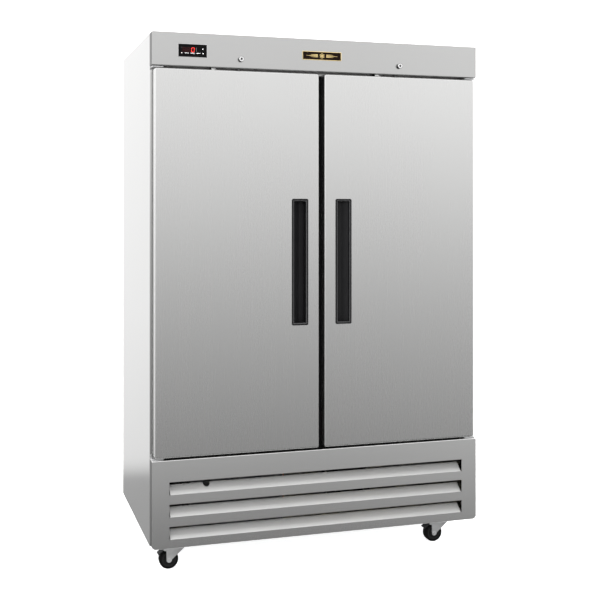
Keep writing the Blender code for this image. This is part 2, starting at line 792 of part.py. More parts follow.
def door_core(side, empty):
    """Foam core and inner panel, bonded into one slab."""
    inset = SHEET + GAP
    x = mirrored(side, DOOR_INNER + inset, DOOR_OUTER - inset)
    tall = (DOOR_LOW + inset, DOOR_HIGH - inset)
    name = f"door_core_{SIDE_NAMES[side]}"
    core = front_rounded(name, x, (inset, CORE_BACK), tall, BEND_RADIUS)
    tub_half = grown(HANDLE_TUB_HALF, GAP)
    tub_space = handle_prism("tub_space", side, tub_half, -SHEET, HANDLE_TUB_BACK + GAP, HANDLE_CORNER)
    cut(core, tub_space, *pin_holes(side))
    on_joint(core, empty, "door_liner")


def door_gasket(side, empty):
    x = mirrored(side, GASKET_INNER, GASKET_OUTER)
    deep = (CORE_BACK + GAP, FRAME_DEPTH - GAP)
    gasket = block(f"door_gasket_{SIDE_NAMES[side]}", x, deep, (GASKET_LOW, GASKET_HIGH))
    inner_x = mirrored(side, GASKET_INNER + GASKET_WIDTH, GASKET_OUTER - GASKET_WIDTH)
    inner_height = (GASKET_LOW + GASKET_WIDTH, GASKET_HIGH - GASKET_WIDTH)
    cut(gasket, block("inside", inner_x, (CORE_BACK, FRAME_DEPTH), inner_height))
    on_joint(gasket, empty, "gasket_vinyl")


def door_handle(side, empty):
    """A recessed cup whose floor slopes down to the finger edge beside the door's free side."""
    name = f"door_handle_{SIDE_NAMES[side]}"
    handle = handle_prism(name, side, HANDLE_RIM_HALF, -PLATE_PROUD, -GAP, HANDLE_CORNER)
    join(handle, handle_prism("tub", side, HANDLE_TUB_HALF, -2 * GAP, HANDLE_TUB_BACK, HANDLE_CORNER))
    near = side * (HANDLE_X - HANDLE_POCKET_HALF[0])
    far = side * (HANDLE_X + HANDLE_POCKET_HALF[0])
    mouth = depth_y(-2 * PLATE_PROUD)
    outline = [
        (near, mouth),
        (far, mouth),
        (far, depth_y(HANDLE_SHALLOW)),
        (near + side * HANDLE_POCKET_HALF[0], depth_y(HANDLE_DEEP)),
        (near, depth_y(HANDLE_DEEP)),
    ]
    ends = (HANDLE_HEIGHT - HANDLE_POCKET_HALF[1], HANDLE_HEIGHT + HANDLE_POCKET_HALF[1])
    cut(handle, prism("pocket", outline, "Z", height_z(ends[0]), height_z(ends[1])))
    on_joint(handle, empty, "black_plastic")


def door(side):
    pivot = (side * PIVOT_X, depth_y(PIVOT_DEPTH), height_z(DOOR_LOW))
    empty = joint_empty(f"door_pivot_{SIDE_NAMES[side]}", pivot)
    door_skin(side, empty)
    door_core(side, empty)
    door_gasket(side, empty)
    door_handle(side, empty)
    for at_top in (True, False):
        hinge_bracket(side, at_top)


# ---------------------------------------------------------------- base


def louvre_flap(low):
    """The strip lanced out of a slot, bent inwards about the slot's bottom edge."""
    reach_depth = SLOT_HEIGHT * math.sin(FLAP_ANGLE)
    reach_height = SLOT_HEIGHT * math.cos(FLAP_ANGLE)
    across_depth = SHEET * math.cos(FLAP_ANGLE)
    across_height = SHEET * math.sin(FLAP_ANGLE)
    root = (depth_y(SHEET / 4), height_z(low - SHEET / 2))
    outline = [
        root,
        (root[0] + reach_depth, root[1] + reach_height),
        (root[0] + reach_depth + across_depth, root[1] + reach_height - across_height),
        (root[0] + across_depth, root[1] - across_height),
    ]
    half = SLOT_HALF - FLAP_INSET
    return prism("flap", outline, "X", -half, half)


def grille_panel():
    """The front of the machine compartment, with three full-width louvres."""
    deep = (0.0, FRAME_DEPTH - GAP)
    full = (-HALF_WIDTH, HALF_WIDTH)
    tall = (0.0, GRILLE_HIGH)
    grille = front_pan("grille_panel", full, deep, tall, PAN_BEND_RADIUS, GRILLE_CORNER)
    inner = HALF_WIDTH - SHEET
    top_cut = (GRILLE_HIGH - 2 * SHEET, GRILLE_HIGH + SHEET)
    cut(
        grille,
        block("top_cut", (-inner, inner), (GRILLE_TOP_LIP, FRAME_DEPTH), top_cut),
        block("low_cut", (-inner, inner), (GRILLE_LOW_LIP, FRAME_DEPTH), (-SHEET, 2 * SHEET)),
    )
    for index in range(SLOT_COUNT):
        low = SLOT_LOW + index * SLOT_PITCH
        slot = (low, low + SLOT_HEIGHT)
        cut(grille, block("slot", (-SLOT_HALF, SLOT_HALF), (-SHEET, 2 * SHEET), slot))
        flap = louvre_flap(low)
        if index == SLOT_COUNT - 1:
            flap_top = height_z(low + SLOT_HEIGHT * math.cos(FLAP_ANGLE))
            ends = (depth_y(NOTCH_RADIUS), depth_y(FRAME_DEPTH))
            cut(flap, rod("notch", (NOTCH_X, flap_top), NOTCH_RADIUS, "Y", *ends, SMALL_SIDES))
        join(grille, flap)
    done(grille, "brushed_stainless")


def fan(name, centre_x, depth, height, radius):
    """A fan with a round hub and pitched blades, turning about a front-to-back axis."""
    hub_radius = radius * FAN_HUB_SHARE
    hub_profile = [(hub_radius, -FAN_HUB_HALF), (hub_radius, FAN_HUB_HALF)]
    hub = turned(name, hub_profile, "Y", capped=True)
    for index in range(FAN_BLADES):
        turn = 2 * math.pi * index / FAN_BLADES
        blade = fan_blade(radius * BLADE_ROOT_SHARE, radius)
        for vertex in blade.data.vertices:
            x, z = vertex.co.x, vertex.co.z
            vertex.co.x = x * math.cos(turn) - z * math.sin(turn)
            vertex.co.z = x * math.sin(turn) + z * math.cos(turn)
        join(hub, blade)
    location = (centre_x, depth_y(depth), height_z(height))
    moved(hub, *location)
    done(hub, "black_plastic", location)


def fan_blade(start, end):
    """One blade along +X: a thin slab whose chord is pitched and widens outwards.

    The points of its tip are pulled in to the fan's round outline.
    """
    thick = BLADE_HALF_SHEET
    shape = bmesh.new()
    rings = []
    for reach, chord in zip((start, (start + end) / 2, end), BLADE_CHORDS):
        ring = []
        for along, across in ((-chord, -thick), (chord, -thick), (chord, thick), (-chord, thick)):
            z = along * math.cos(BLADE_PITCH) - across * math.sin(BLADE_PITCH)
            y = along * math.sin(BLADE_PITCH) * BLADE_DEPTH_SHARE + across * math.cos(BLADE_PITCH)
            x = math.sqrt(reach * reach - z * z) if reach == end else reach
            ring.append(shape.verts.new((x, y, z)))
        rings.append(ring)
    for first, second in zip(rings, rings[1:]):
        for index in range(4):
            after = (index + 1) % 4
            shape.faces.new((first[index], first[after], second[after], second[index]))
    shape.faces.new(rings[0])
    shape.faces.new(rings[-1])
    return object_from("blade", shape)


def evaporator_cover():
    """Sheet-metal housing hung from the ceiling, with the fan ring and its motor."""
    half = (-EVAPORATOR_HALF, EVAPORATOR_HALF)
    cover = top_pan("evaporator_cover", half, EVAPORATOR_DEPTH, EVAPORATOR_HEIGHT, SHEET)
    centre = (0.0, height_z(EVAPORATOR_FAN_HEIGHT))
    front = EVAPORATOR_DEPTH[0]
    ring = (depth_y(front - SHEET), depth_y(front + 2 * SHEET))
    cut(cover, rod("fan_hole", centre, EVAPORATOR_RING_RADIUS, "Y", *ring))
    floor_cut = (EVAPORATOR_HEIGHT[0] - SHEET, EVAPORATOR_HEIGHT[0] + 2 * SHEET)
    for index in range(INTAKE_COUNT):
        x = (index - (INTAKE_COUNT - 1) / 2) * INTAKE_PITCH
        cut(cover, block("intake", (x - INTAKE_HALF, x + INTAKE_HALF), INTAKE_DEPTH, floor_cut))
    motor_ends = (depth_y(EVAPORATOR_MOTOR_DEPTH[0]), depth_y(EVAPORATOR_MOTOR_DEPTH[1]))
    motor = rod("motor", centre, EVAPORATOR_MOTOR_RADIUS, "Y", *motor_ends, SMALL_SIDES)
    foot_x = (-EVAPORATOR_FOOT_HALF, EVAPORATOR_FOOT_HALF)
    foot_height = (EVAPORATOR_HEIGHT[0] + SHEET / 2, EVAPORATOR_FAN_HEIGHT)
    join(cover, join(motor, block("foot", foot_x, EVAPORATOR_FOOT_DEPTH, foot_height)))
    done(cover, "white_liner")


def finned_coil(name, x, depth, height):
    """A coil block with grooves between its fin packs, front and back."""
    coil = block(name, x, depth, height)
    pitch = (x[1] - x[0]) / FIN_PACKS
    groove_depth = (depth[1] - depth[0]) * FIN_GROOVE_DEPTH_SHARE
    groove_half = pitch * FIN_GROOVE_WIDTH_SHARE / 2
    for index in range(1, FIN_PACKS):
        middle = x[0] + index * pitch
        groove_x = (middle - groove_half, middle + groove_half)
        groove_y = (depth[0] - SHEET, depth[0] + groove_depth)
        cut(coil, block("groove", groove_x, groove_y, (height[0] - SHEET, height[1] + SHEET)))
    done(coil, "aluminium_fins")


def condenser_shroud():
    """A box behind the condenser that guides its air through the fan's ring, with the fan's motor."""
    deep = (CONDENSER_DEPTH[1] + GAP, SHROUD_BACK)
    shroud = block("condenser_shroud", CONDENSER_X, deep, CONDENSER_HEIGHT)
    inner_x = (CONDENSER_X[0] + SHEET, CONDENSER_X[1] - SHEET)
    inner_height = (CONDENSER_HEIGHT[0] + SHEET, CONDENSER_HEIGHT[1] - SHEET)
    cut(shroud, block("hollow", inner_x, (deep[0] - SHEET, deep[1] - SHEET), inner_height))
    x, height = condenser_fan_centre()
    centre = (x, height_z(height))
    ring = (depth_y(SHROUD_BACK - 2 * SHEET), depth_y(SHROUD_BACK + SHEET))
    cut(shroud, rod("fan_hole", centre, SHROUD_RING_RADIUS, "Y", *ring))
    motor_ends = (depth_y(CONDENSER_MOTOR_DEPTH[0]), depth_y(CONDENSER_MOTOR_DEPTH[1]))
    motor = rod("motor", centre, CONDENSER_MOTOR_RADIUS, "Y", *motor_ends, SMALL_SIDES)
    strut_x = (CONDENSER_X[0] + SHEET / 2, CONDENSER_X[1] - SHEET / 2)
    strut_height = (height - STRUT_HALF, height + STRUT_HALF)
    join(shroud, join(motor, block("strut", strut_x, STRUT_DEPTH, strut_height)))
    done(shroud, "galvanised_steel")


def condenser_fan_centre():
    return (sum(CONDENSER_X) / 2, sum(CONDENSER_HEIGHT) / 2)


def compressor():
    """A hermetic can on a mounting plate."""
    low = CHASSIS_SHEET + GAP
    profile = [(share * COMPRESSOR_RADIUS, height) for share, height in CAN_PROFILE]
    can = turned("compressor", profile, "Z", capped=True)
    moved(can, COMPRESSOR_X, depth_y(COMPRESSOR_DEPTH), height_z(low))
    plate_x = (COMPRESSOR_X - COMPRESSOR_PLATE_HALF[0], COMPRESSOR_X + COMPRESSOR_PLATE_HALF[0])
    plate_depth = (
        COMPRESSOR_DEPTH - COMPRESSOR_PLATE_HALF[1],
        COMPRESSOR_DEPTH + COMPRESSOR_PLATE_HALF[1],
    )
    plate = block("plate", plate_x, plate_depth, (low, low + COMPRESSOR_PLATE_HEIGHT))
    can_side = COMPRESSOR_X - COMPRESSOR_RADIUS
    box_x = (can_side - TERMINAL_REACH, can_side + TERMINAL_SINK)
    box_depth = (COMPRESSOR_DEPTH - TERMINAL_HALF, COMPRESSOR_DEPTH + TERMINAL_HALF)
    join(can, plate, block("terminals", box_x, box_depth, TERMINAL_HEIGHT))
    done(can, "black_paint")


def condensate_pan():
    low = CHASSIS_SHEET + GAP
    tray = top_pan("condensate_pan", PAN_X, PAN_DEPTH, (low, low + PAN_HEIGHT), PAN_WALL)
    done(tray, "black_plastic")


# ---------------------------------------------------------------- casters


def caster_plate(name, x, y):
    """Bolting plate, ball raceway and the king pin whose head holds the fork up."""
    top = CASTER_HEIGHT - GAP
    corners = rounded_outline(CASTER_PLATE_HALF, CASTER_PLATE_CORNER, 3)
    outline = [(x + across, y + along) for across, along in corners]
    plate = prism(name, outline, "Z", top - CASTER_PLATE_SHEET, top)
    through = (top - 2 * CASTER_PLATE_SHEET, top + CASTER_PLATE_SHEET)
    for across in (LEFT, RIGHT):
        for along in (-1, 1):
            centre = (x + across * BOLT_OFFSET[0], y + along * BOLT_OFFSET[1])
            cut(plate, rod("bolt_hole", centre, BOLT_HOLE_RADIUS, "Z", *through, TINY_SIDES))
    race = rod("race", (x, y), RACE_RADIUS, "Z", RACE_LOW, top - SHEET, SMALL_SIDES)
    pin_ends = (KING_PIN_HEAD[0] + SHEET, RACE_LOW + SHEET)
    pin = rod("pin", (x, y), KING_PIN_RADIUS, "Z", *pin_ends, SMALL_SIDES)
    head = rod("head", (x, y), KING_PIN_HEAD_RADIUS, "Z", *KING_PIN_HEAD, SMALL_SIDES)
    join(plate, race, pin, head)
    done(plate, "zinc_plate")


def leg_outline(x, braked):
    """The fork's cheek seen from the side, from the crown down to the axle boss."""
    axle_x = x - CASTER_TRAIL
    boss = arc((axle_x, WHEEL_RADIUS), AXLE_BOSS_RADIUS, 170, 370, 8)
    crown_right = [(x + 0.016, 0.080), (x + 0.020, LEG_TOP)]
    if braked:
        pivot = (axle_x + PEDAL_PIVOT[0], WHEEL_RADIUS + PEDAL_PIVOT[1])
        ear = arc(pivot, EAR_RADIUS, 90, 260, 6)
        crown_left = [(x - 0.026, LEG_TOP), (x - 0.030, pivot[1] + EAR_RADIUS)]
        elbow = (axle_x - AXLE_BOSS_RADIUS, pivot[1] - EAR_RADIUS)
        return boss + crown_right + crown_left + ear + [elbow]
    return boss + crown_right + [(x - 0.026, LEG_TOP), (axle_x + 0.002, 0.076)]


def caster_fork(name, x, y, braked, empty):
    fork = rod(name, (x, y), CROWN_RADIUS, "Z", *CROWN, SMALL_SIDES)
    for along in (-1, 1):
        cheek_y = sorted((y + along * LEG_INNER, y + along * (LEG_INNER + LEG_SHEET)))
        join(fork, prism("cheek", leg_outline(x, braked), "Y", *cheek_y))
    hole_ends = (CROWN[0] - SHEET, CROWN[1] + SHEET)
    cut(fork, rod("pin_hole", (x, y), KING_PIN_HOLE_RADIUS, "Z", *hole_ends, SMALL_SIDES))
    axle = (x - CASTER_TRAIL, WHEEL_RADIUS)
    outer = LEG_INNER + LEG_SHEET
    axle_half = outer + AXLE_END
    join(fork, rod("axle", axle, AXLE_RADIUS, "Y", y - axle_half, y + axle_half, SMALL_SIDES))
    for along in (-1, 1):
        ends = sorted((y + along * (outer - GAP), y + along * (outer + AXLE_HEAD_LENGTH)))
        join(fork, rod("bolt_head", axle, AXLE_HEAD_RADIUS, "Y", *ends, 6))
        if braked:
            pivot = (axle[0] + PEDAL_PIVOT[0], axle[1] + PEDAL_PIVOT[1])
            ear_ends = sorted((y + along * (LEG_INNER - SHEET), y + along * (outer + SHEET)))
            cut(fork, rod("ear_hole", pivot, PEDAL_KNUCKLE_RADIUS, "Y", *ear_ends, TINY_SIDES))
    on_joint(fork, empty, "zinc_plate")


def caster_wheel(name, x, y, parent):
    """Rubber-tyred wheel with a hub that nearly fills the fork."""
    profile = [
        (WHEEL_BORE_RADIUS, -WHEEL_HALF_HUB),
        (WHEEL_HUB_RADIUS - SHEET, -WHEEL_HALF_HUB),
        (WHEEL_HUB_RADIUS, -WHEEL_HALF_TREAD + TREAD_CHAMFER),
        (WHEEL_RIM_RADIUS, -WHEEL_HALF_TREAD),
        (WHEEL_RADIUS - TREAD_CHAMFER, -WHEEL_HALF_TREAD),
        (WHEEL_RADIUS, -WHEEL_HALF_TREAD + TREAD_CHAMFER),
    ]
    profile += [(radius, -height) for radius, height in reversed(profile)]
    wheel = turned(name, profile, "Y")
    axle = (x - CASTER_TRAIL, y, WHEEL_RADIUS)
    moved(wheel, *axle)
    empty = joint_empty(name + "_axle", axle, parent)
    on_joint(wheel, empty, "black_rubber")


def brake_pedal(name, x, y, parent):
    """A hinged tongue above the tyre: pressed down, it bears on the tread."""
    axle = (x - CASTER_TRAIL, WHEEL_RADIUS)
    pivot = (axle[0] + PEDAL_PIVOT[0], axle[1] + PEDAL_PIVOT[1])
    tip = (axle[0] + PEDAL_TIP[0], axle[1] + PEDAL_TIP[1])
    length = math.dist(pivot, tip)
    along = ((tip[0] - pivot[0]) / length, (tip[1] - pivot[1]) / length)
    outline = []
    for side, reach in ((1, 0.0), (1, length), (-1, length), (-1, 0.0)):
        point_x = pivot[0] + along[0] * reach + side * PEDAL_HALF_SHEET * along[1]
        point_z = pivot[1] + along[1] * reach - side * PEDAL_HALF_SHEET * along[0]
        outline.append((point_x, point_z))
    tongue = prism(name, outline, "Y", y - PEDAL_HALF_WIDTH, y + PEDAL_HALF_WIDTH)
    knuckle_ends = (y - PEDAL_HALF_WIDTH - GAP, y + PEDAL_HALF_WIDTH + GAP)
    knuckle = rod("knuckle", pivot, PEDAL_KNUCKLE_RADIUS, "Y", *knuckle_ends, TINY_SIDES)
    pin_half = LEG_INNER + LEG_SHEET + SHEET
    pin = rod("pin", pivot, PEDAL_PIN_RADIUS, "Y", y - pin_half, y + pin_half, TINY_SIDES)
    join(tongue, knuckle, pin)
    empty = joint_empty(name + "_hinge", (pivot[0], y, pivot[1]), parent)
    on_joint(tongue, empty, "black_paint")


def caster(end_name, side):
    x = side * CASTER_X
    depth = CASTER_FRONT_DEPTH if end_name == "front" else CASTER_REAR_DEPTH
    y = depth_y(depth)
    where = f"{end_name}_{SIDE_NAMES[side]}"
    caster_plate(f"caster_plate_{where}", x, y)
    swivel = joint_empty(f"caster_swivel_{where}", (x, y, 0.0))
    caster_fork(f"caster_fork_{where}", x, y, end_name == "front", swivel)
    caster_wheel(f"caster_wheel_{where}", x, y, swivel)
    if end_name == "front":
        brake_pedal(f"brake_pedal_{SIDE_NAMES[side]}", x, y, swivel)


# ---------------------------------------------------------------- shelves


def wire_shelf(side, level):
    """A shelf plate with open windows, resting on the pilasters' clips."""
    x = mirrored(side, *SHELF_X)
    low = SHELF_HEIGHTS[level]
    shelf = block(f"wire_shelf_{SIDE_NAMES[side]}_{level + 1}", x, SHELF_DEPTH, (low, low + SHELF_SHEET))
    across = (x[1] - x[0] - SHELF_RIM) / SHELF_COLUMNS
    along = (SHELF_DEPTH[1] - SHELF_DEPTH[0] - SHELF_RIM) / SHELF_ROWS
    for column in range(SHELF_COLUMNS):
        for row in range(SHELF_ROWS):
            start_x = x[0] + SHELF_RIM + column * across
            start_depth = SHELF_DEPTH[0] + SHELF_RIM + row * along
            window_x = (start_x, start_x + across - SHELF_RIM)
            window_depth = (start_depth, start_depth + along - SHELF_RIM)
            cut(shelf, block("window", window_x, window_depth, (low - SHEET, low + SHELF_SHEET + SHEET)))
    done(shelf, "coated_wire")


# ---------------------------------------------------------------- whole


def refrigerator():
    clear_scene()
    for side in (LEFT, RIGHT):
        side_panel(side)
    top_panel()
    back_panel()
    foam_insulation()
    inner_liner()
    face_frame()
    center_mullion()
    base_chassis()
    machine_rear_panel()
    header_panel()
    controller_housing()
    name_badge()
    grille_panel()
    for side in (LEFT, RIGHT):
        lock_barrel(side)
        lock_plug(side)
        door_switch_plunger(side)
        door(side)
        for level in range(len(SHELF_HEIGHTS)):
            wire_shelf(side, level)
    evaporator_cover()
    finned_coil("evaporator_coil", EVAPORATOR_COIL_X, EVAPORATOR_COIL_DEPTH, EVAPORATOR_COIL_HEIGHT)
    fan("evaporator_fan", 0.0, EVAPORATOR_FAN_DEPTH, EVAPORATOR_FAN_HEIGHT, EVAPORATOR_FAN_RADIUS)
    compressor()
    finned_coil("condenser_coil", CONDENSER_X, CONDENSER_DEPTH, CONDENSER_HEIGHT)
    condenser_shroud()
    fan_x, fan_height = condenser_fan_centre()
    fan("condenser_fan", fan_x, CONDENSER_FAN_DEPTH, fan_height, CONDENSER_FAN_RADIUS)
    condensate_pan()
    for end_name in ("front", "rear"):
        for side in (LEFT, RIGHT):
            caster(end_name, side)


refrigerator()
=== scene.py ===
"""Looks of the two-door reach-in refrigerator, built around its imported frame.

Metres, +Z up, doors towards -Y. Shapes are laid out in cabinet terms: x across, "depth" back
from the doors' front face and "height" above the cabinet's underside.
"""

import math

import bmesh
import bpy
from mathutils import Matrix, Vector


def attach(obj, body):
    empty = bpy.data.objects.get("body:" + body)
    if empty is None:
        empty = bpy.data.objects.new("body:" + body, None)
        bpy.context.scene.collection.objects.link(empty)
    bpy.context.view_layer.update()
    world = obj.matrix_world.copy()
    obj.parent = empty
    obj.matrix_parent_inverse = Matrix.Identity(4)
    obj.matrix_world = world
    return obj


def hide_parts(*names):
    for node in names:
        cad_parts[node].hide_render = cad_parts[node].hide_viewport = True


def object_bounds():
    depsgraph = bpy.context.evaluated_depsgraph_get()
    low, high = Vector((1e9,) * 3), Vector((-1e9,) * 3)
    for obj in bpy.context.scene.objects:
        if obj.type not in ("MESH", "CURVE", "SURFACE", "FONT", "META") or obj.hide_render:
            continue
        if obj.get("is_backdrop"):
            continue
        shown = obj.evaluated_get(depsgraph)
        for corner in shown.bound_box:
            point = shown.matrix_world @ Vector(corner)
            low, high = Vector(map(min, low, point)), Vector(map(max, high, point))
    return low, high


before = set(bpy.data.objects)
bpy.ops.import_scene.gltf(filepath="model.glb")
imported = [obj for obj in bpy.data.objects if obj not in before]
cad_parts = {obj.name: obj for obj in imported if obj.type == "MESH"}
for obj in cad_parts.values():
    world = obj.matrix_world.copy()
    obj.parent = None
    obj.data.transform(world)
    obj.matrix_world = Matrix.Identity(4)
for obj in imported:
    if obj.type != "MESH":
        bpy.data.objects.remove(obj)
cad_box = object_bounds()

# Cabinet
HALF_WIDTH = 0.6875
DEPTH = 0.835
BODY_HEIGHT = 1.994
CASTER_HEIGHT = 0.102
FRONT_Y = -0.4115
SHEET = 0.0012
GAP = 0.0003
FRAME_DEPTH = 0.054
BEND = 0.007
PAN_BEND = 0.0025
MACHINE_TOP = 0.342
CAVITY_HALF = 0.6275
CAVITY_BACK = 0.775
CAVITY_LOW = 0.384
CAVITY_HIGH = 1.931
BEAM_BACK = 0.116
OPENING_LOW = 0.386
OPENING_HIGH = 1.818
MULLION_HALF = 0.042
MULLION_BACK = 0.100
MULLION_FLANGE = (0.333, 1.870)
BACK_BEAD_PITCH = 0.30
STANDARD_DEPTHS = (0.165, 0.660)
STANDARD_PITCH = 0.0254
STANDARD_HALF = 0.0125
STANDARD_SLOT_HALF = 0.0065
VENT_PITCH = (0.28, 0.050)
VENT_ROWS = 4
VENT_OFFSET = -0.06
CORD_GLAND = (0.520, 0.090)

# Header
HEADER_LOW = 1.864
HEADER_LIP = 0.030
DISPLAY = (-0.529, 1.9248)
DISPLAY_HALF = (0.0574, 0.0255)
FIGURE_SIZE = (0.0108, 0.0165)
FIGURE_STROKE = 0.0016
FIGURE_SLANT = 0.0005
BADGE_HEIGHT = 1.9265
BADGE_HALF = (0.0823, 0.0172)
PROUD = 0.0018
MARK_DEPTH = (-PROUD - 0.00012, -PROUD + 0.0003)
LOCK_X = 0.336
LOCK_HEIGHT = 1.899
LOCK_PROUD = 0.012
SWITCH_HEIGHT = 1.859
STRIKER_DEPTH = 0.0222
STRIKER_HALF = 0.009

# Doors
DOOR_OUTER = 0.677
DOOR_INNER = 0.0115
DOOR_LOW = 0.348
DOOR_HIGH = 1.855
DOOR_CORNER = 0.0085
SKIN_BACK = 0.043
CORE_BACK = 0.0445
CORE_FIELD = 0.052
GASKET_X = (0.0195, 0.657)
GASKET_HEIGHT = (0.358, 1.845)
PIVOT = (0.657, 0.020)
PIN_HOLE_RADIUS = 0.0057
BRACKET_X = (0.637, 0.6855)
BRACKET_TAB = 0.040
HANDLE_X = 0.0923
HANDLE_HEIGHT = 1.0975
HANDLE_RIM_HALF = (0.0345, 0.2535)
HANDLE_WALL = 0.006
HANDLE_CORNER = 0.0065
HANDLE_POCKET_INSET = 0.0105
HANDLE_BACK = 0.034
HANDLE_DEEP = 0.030
HANDLE_SHALLOW = 0.010

# Base
GRILLE_HIGH = 0.3406
SLOT_COUNT = 3
SLOT_HALF = 0.6195
SLOT_LOW = 0.0345
SLOT_PITCH = 0.0860
SLOT_HEIGHT = 0.0495
FLAP_ANGLE = math.radians(49.5)
NOTCH_X = -0.468
NOTCH_RADIUS = 0.0145

# Inside
SHELF_X = (0.008, 0.619)
SHELF_DEPTH = (0.125, 0.700)
SHELF_HEIGHTS = (0.700, 1.050, 1.400)
SHELF_RIM = 0.0028
SHELF_WIRES = 24
CLIP_HALF = 0.0055
EVAPORATOR_HALF = 0.300
EVAPORATOR_DEPTH = (0.220, 0.700)
EVAPORATOR_HEIGHT = (1.745, 1.9285)
EVAPORATOR_COIL = ((-0.27, 0.27), (0.360, 0.500), (1.775, 1.925))
EVAPORATOR_FAN = (0.0, 0.240, 1.837)
EVAPORATOR_FAN_RADIUS = 0.070
COIL_END_ROOM = 0.012
COIL_TUBE = 0.0042
LAMP_X = (0.400, 0.520)
UNDERSIDE = 0.0023
CONDENSER_X = (-0.530, -0.130)
CONDENSER_DEPTH = (0.085, 0.145)
CONDENSER_HEIGHT = (0.035, 0.300)
CONDENSER_FAN = (-0.330, 0.222, 0.1675)
CONDENSER_FAN_RADIUS = 0.108
SHROUD_BACK = 0.215
COMPRESSOR = (0.300, 0.520)
FAN_PITCH = math.radians(26)
FAN_STEPS = 8
FAN_HALF_DEPTH = 0.0105

# Casters
CASTER_X = 0.566
CASTER_DEPTHS = {"front": 0.085, "rear": 0.750}
CASTER_TRAIL = 0.043
WHEEL_RADIUS = 0.038
FORK_FACES = (0.0205, 0.0230)
PEDAL_PIVOT = (-0.017, 0.041)
PEDAL_TIP = (-0.043, 0.022)

# Studio: light against the height or side that a ray looks to, from -1 to 1
FRONT_LIGHT = [
    (-1.0, 0.30), (-0.75, 0.08), (-0.45, 0.035), (-0.31, 0.055), (-0.25, 0.125), (-0.12, 0.185), (0.0, 0.305),
    (0.12, 0.45), (0.5, 0.46), (1.0, 0.46),
]
BEHIND_LIGHT = [
    (-1.0, 0.30), (-0.45, 0.12), (-0.2455, 0.17), (-0.2405, 0.345), (-0.10, 0.40), (0.15, 0.45), (1.0, 0.45),
]
LEFT_LIGHT = [
    (-1.0, 0.92), (-0.6, 0.90), (-0.2, 0.66), (0.0, 0.66), (0.184, 0.72), (0.28, 0.61), (0.37, 0.67),
    (0.43, 0.76), (1.0, 0.80),
]
FRONT_TO_BEHIND = [(-0.35, 0.0), (0.35, 1.0)]
WORLD_STRENGTH = 4.0
FLOOR_GLOW = 0.80
CAMERA_LENS = 61.99
CAMERA_SHIFT = -0.1538
CAMERA_PLACE = (-1.319, FRONT_Y - 3.952, 1.417)
CAMERA_TURN = math.radians(-17.24)

SIDES = {"left": -1, "right": 1}
ORIGIN = (0.0, FRONT_Y, CASTER_HEIGHT)


# ---------------------------------------------------------------- shape tools


def at(x, depth, height):
    """The world place of a point in cabinet terms."""
    return Vector((x, FRONT_Y + depth, CASTER_HEIGHT + height))


def about(middle, half):
    return (middle - half, middle + half)


def span(side, near, far):
    """The x range from near to far, counted away from the middle on one side."""
    return tuple(sorted((side * near, side * far)))


def arc(centre, radius, start, end, steps):
    """Points of an arc in degrees, both ends included."""
    points = []
    for step in range(steps + 1):
        angle = math.radians(start + (end - start) * step / steps)
        points.append((centre[0] + radius * math.cos(angle), centre[1] + radius * math.sin(angle)))
    return points


def rounded(x, z, corners, steps=6):
    """A rectangle with its own radius at each corner, from the top right one anticlockwise."""
    places = ((x[1], z[1], -1, -1), (x[0], z[1], 1, -1), (x[0], z[0], 1, 1), (x[1], z[0], -1, 1))
    points = []
    for turn, (radius, (px, pz, inx, inz)) in enumerate(zip(corners, places)):
        centre = (px + inx * radius, pz + inz * radius)
        points += arc(centre, radius, 90 * turn, 90 * turn + 90, steps)
    return points


class Form:
    """One piece's mesh while it is built. Each shape that is added has a material number."""

    def __init__(self):
        self.mesh = bmesh.new()

    def take(self, part, material=0):
        for face in part.faces:
            face.material_index = material
        held = bpy.data.meshes.new("held")
        part.to_mesh(held)
        part.free()
        self.mesh.from_mesh(held)
        bpy.data.meshes.remove(held)
        return self


def paint_shade_on_returns(part, material):
    """Gives the faces that look sideways another material, a much darker steel that is painted shade."""
    for face in part.faces:
        if abs(face.normal.x) > 0.7:
            face.material_index = material


def settle(part):
    bmesh.ops.recalc_face_normals(part, faces=part.faces[:])
    return part


def bevelled(part, edges, radius, steps):
    if radius:
        bmesh.ops.bevel(part, geom=edges, offset=radius, segments=steps, profile=0.5, affect="EDGES")
    return settle(part)


def skinned(part, rings, closed=False):
    """Joins rings of vertices in turn. The ends are capped, or join each other when closed."""
    pairs = list(zip(rings, rings[1:]))
    if closed:
        pairs.append((rings[-1], rings[0]))
    else:
        part.faces.new(rings[0])
        part.faces.new(rings[-1])
    for first, second in pairs:
        count = len(first)
        for index in range(count):
            after = (index + 1) % count
            part.faces.new((first[index], first[after], second[after], second[index]))
    return part


def box(x, depth, height, radius=0.0, steps=2):
    """A box in cabinet terms with all its edges rounded."""
    part = bmesh.new()
    low, high = at(x[0], depth[0], height[0]), at(x[1], depth[1], height[1])
    bmesh.ops.create_cube(part, size=1.0)
    bmesh.ops.scale(part, vec=high - low, verts=part.verts)
    bmesh.ops.translate(part, vec=(low + high) / 2, verts=part.verts)
    return bevelled(part, part.edges[:], radius, steps)


def prism(outline, axis, start, end, radius=0.0, steps=2, origin=ORIGIN):
    """An outline in two coordinates, extruded along the third. Its end edges are rounded."""
    part = bmesh.new()
    where = "XYZ".index(axis)
    rings = []
    for level in (start, end):
        ring = []
        for point in outline:
            place = [*point]
            place.insert(where, level)
            ring.append(part.verts.new([base + value for base, value in zip(origin, place)]))
        rings.append(ring)
    skinned(part, rings)
    edges = [e for e in part.edges if abs(e.verts[0].co[where] - e.verts[1].co[where]) < 1e-7]
    return bevelled(part, edges, radius, steps)


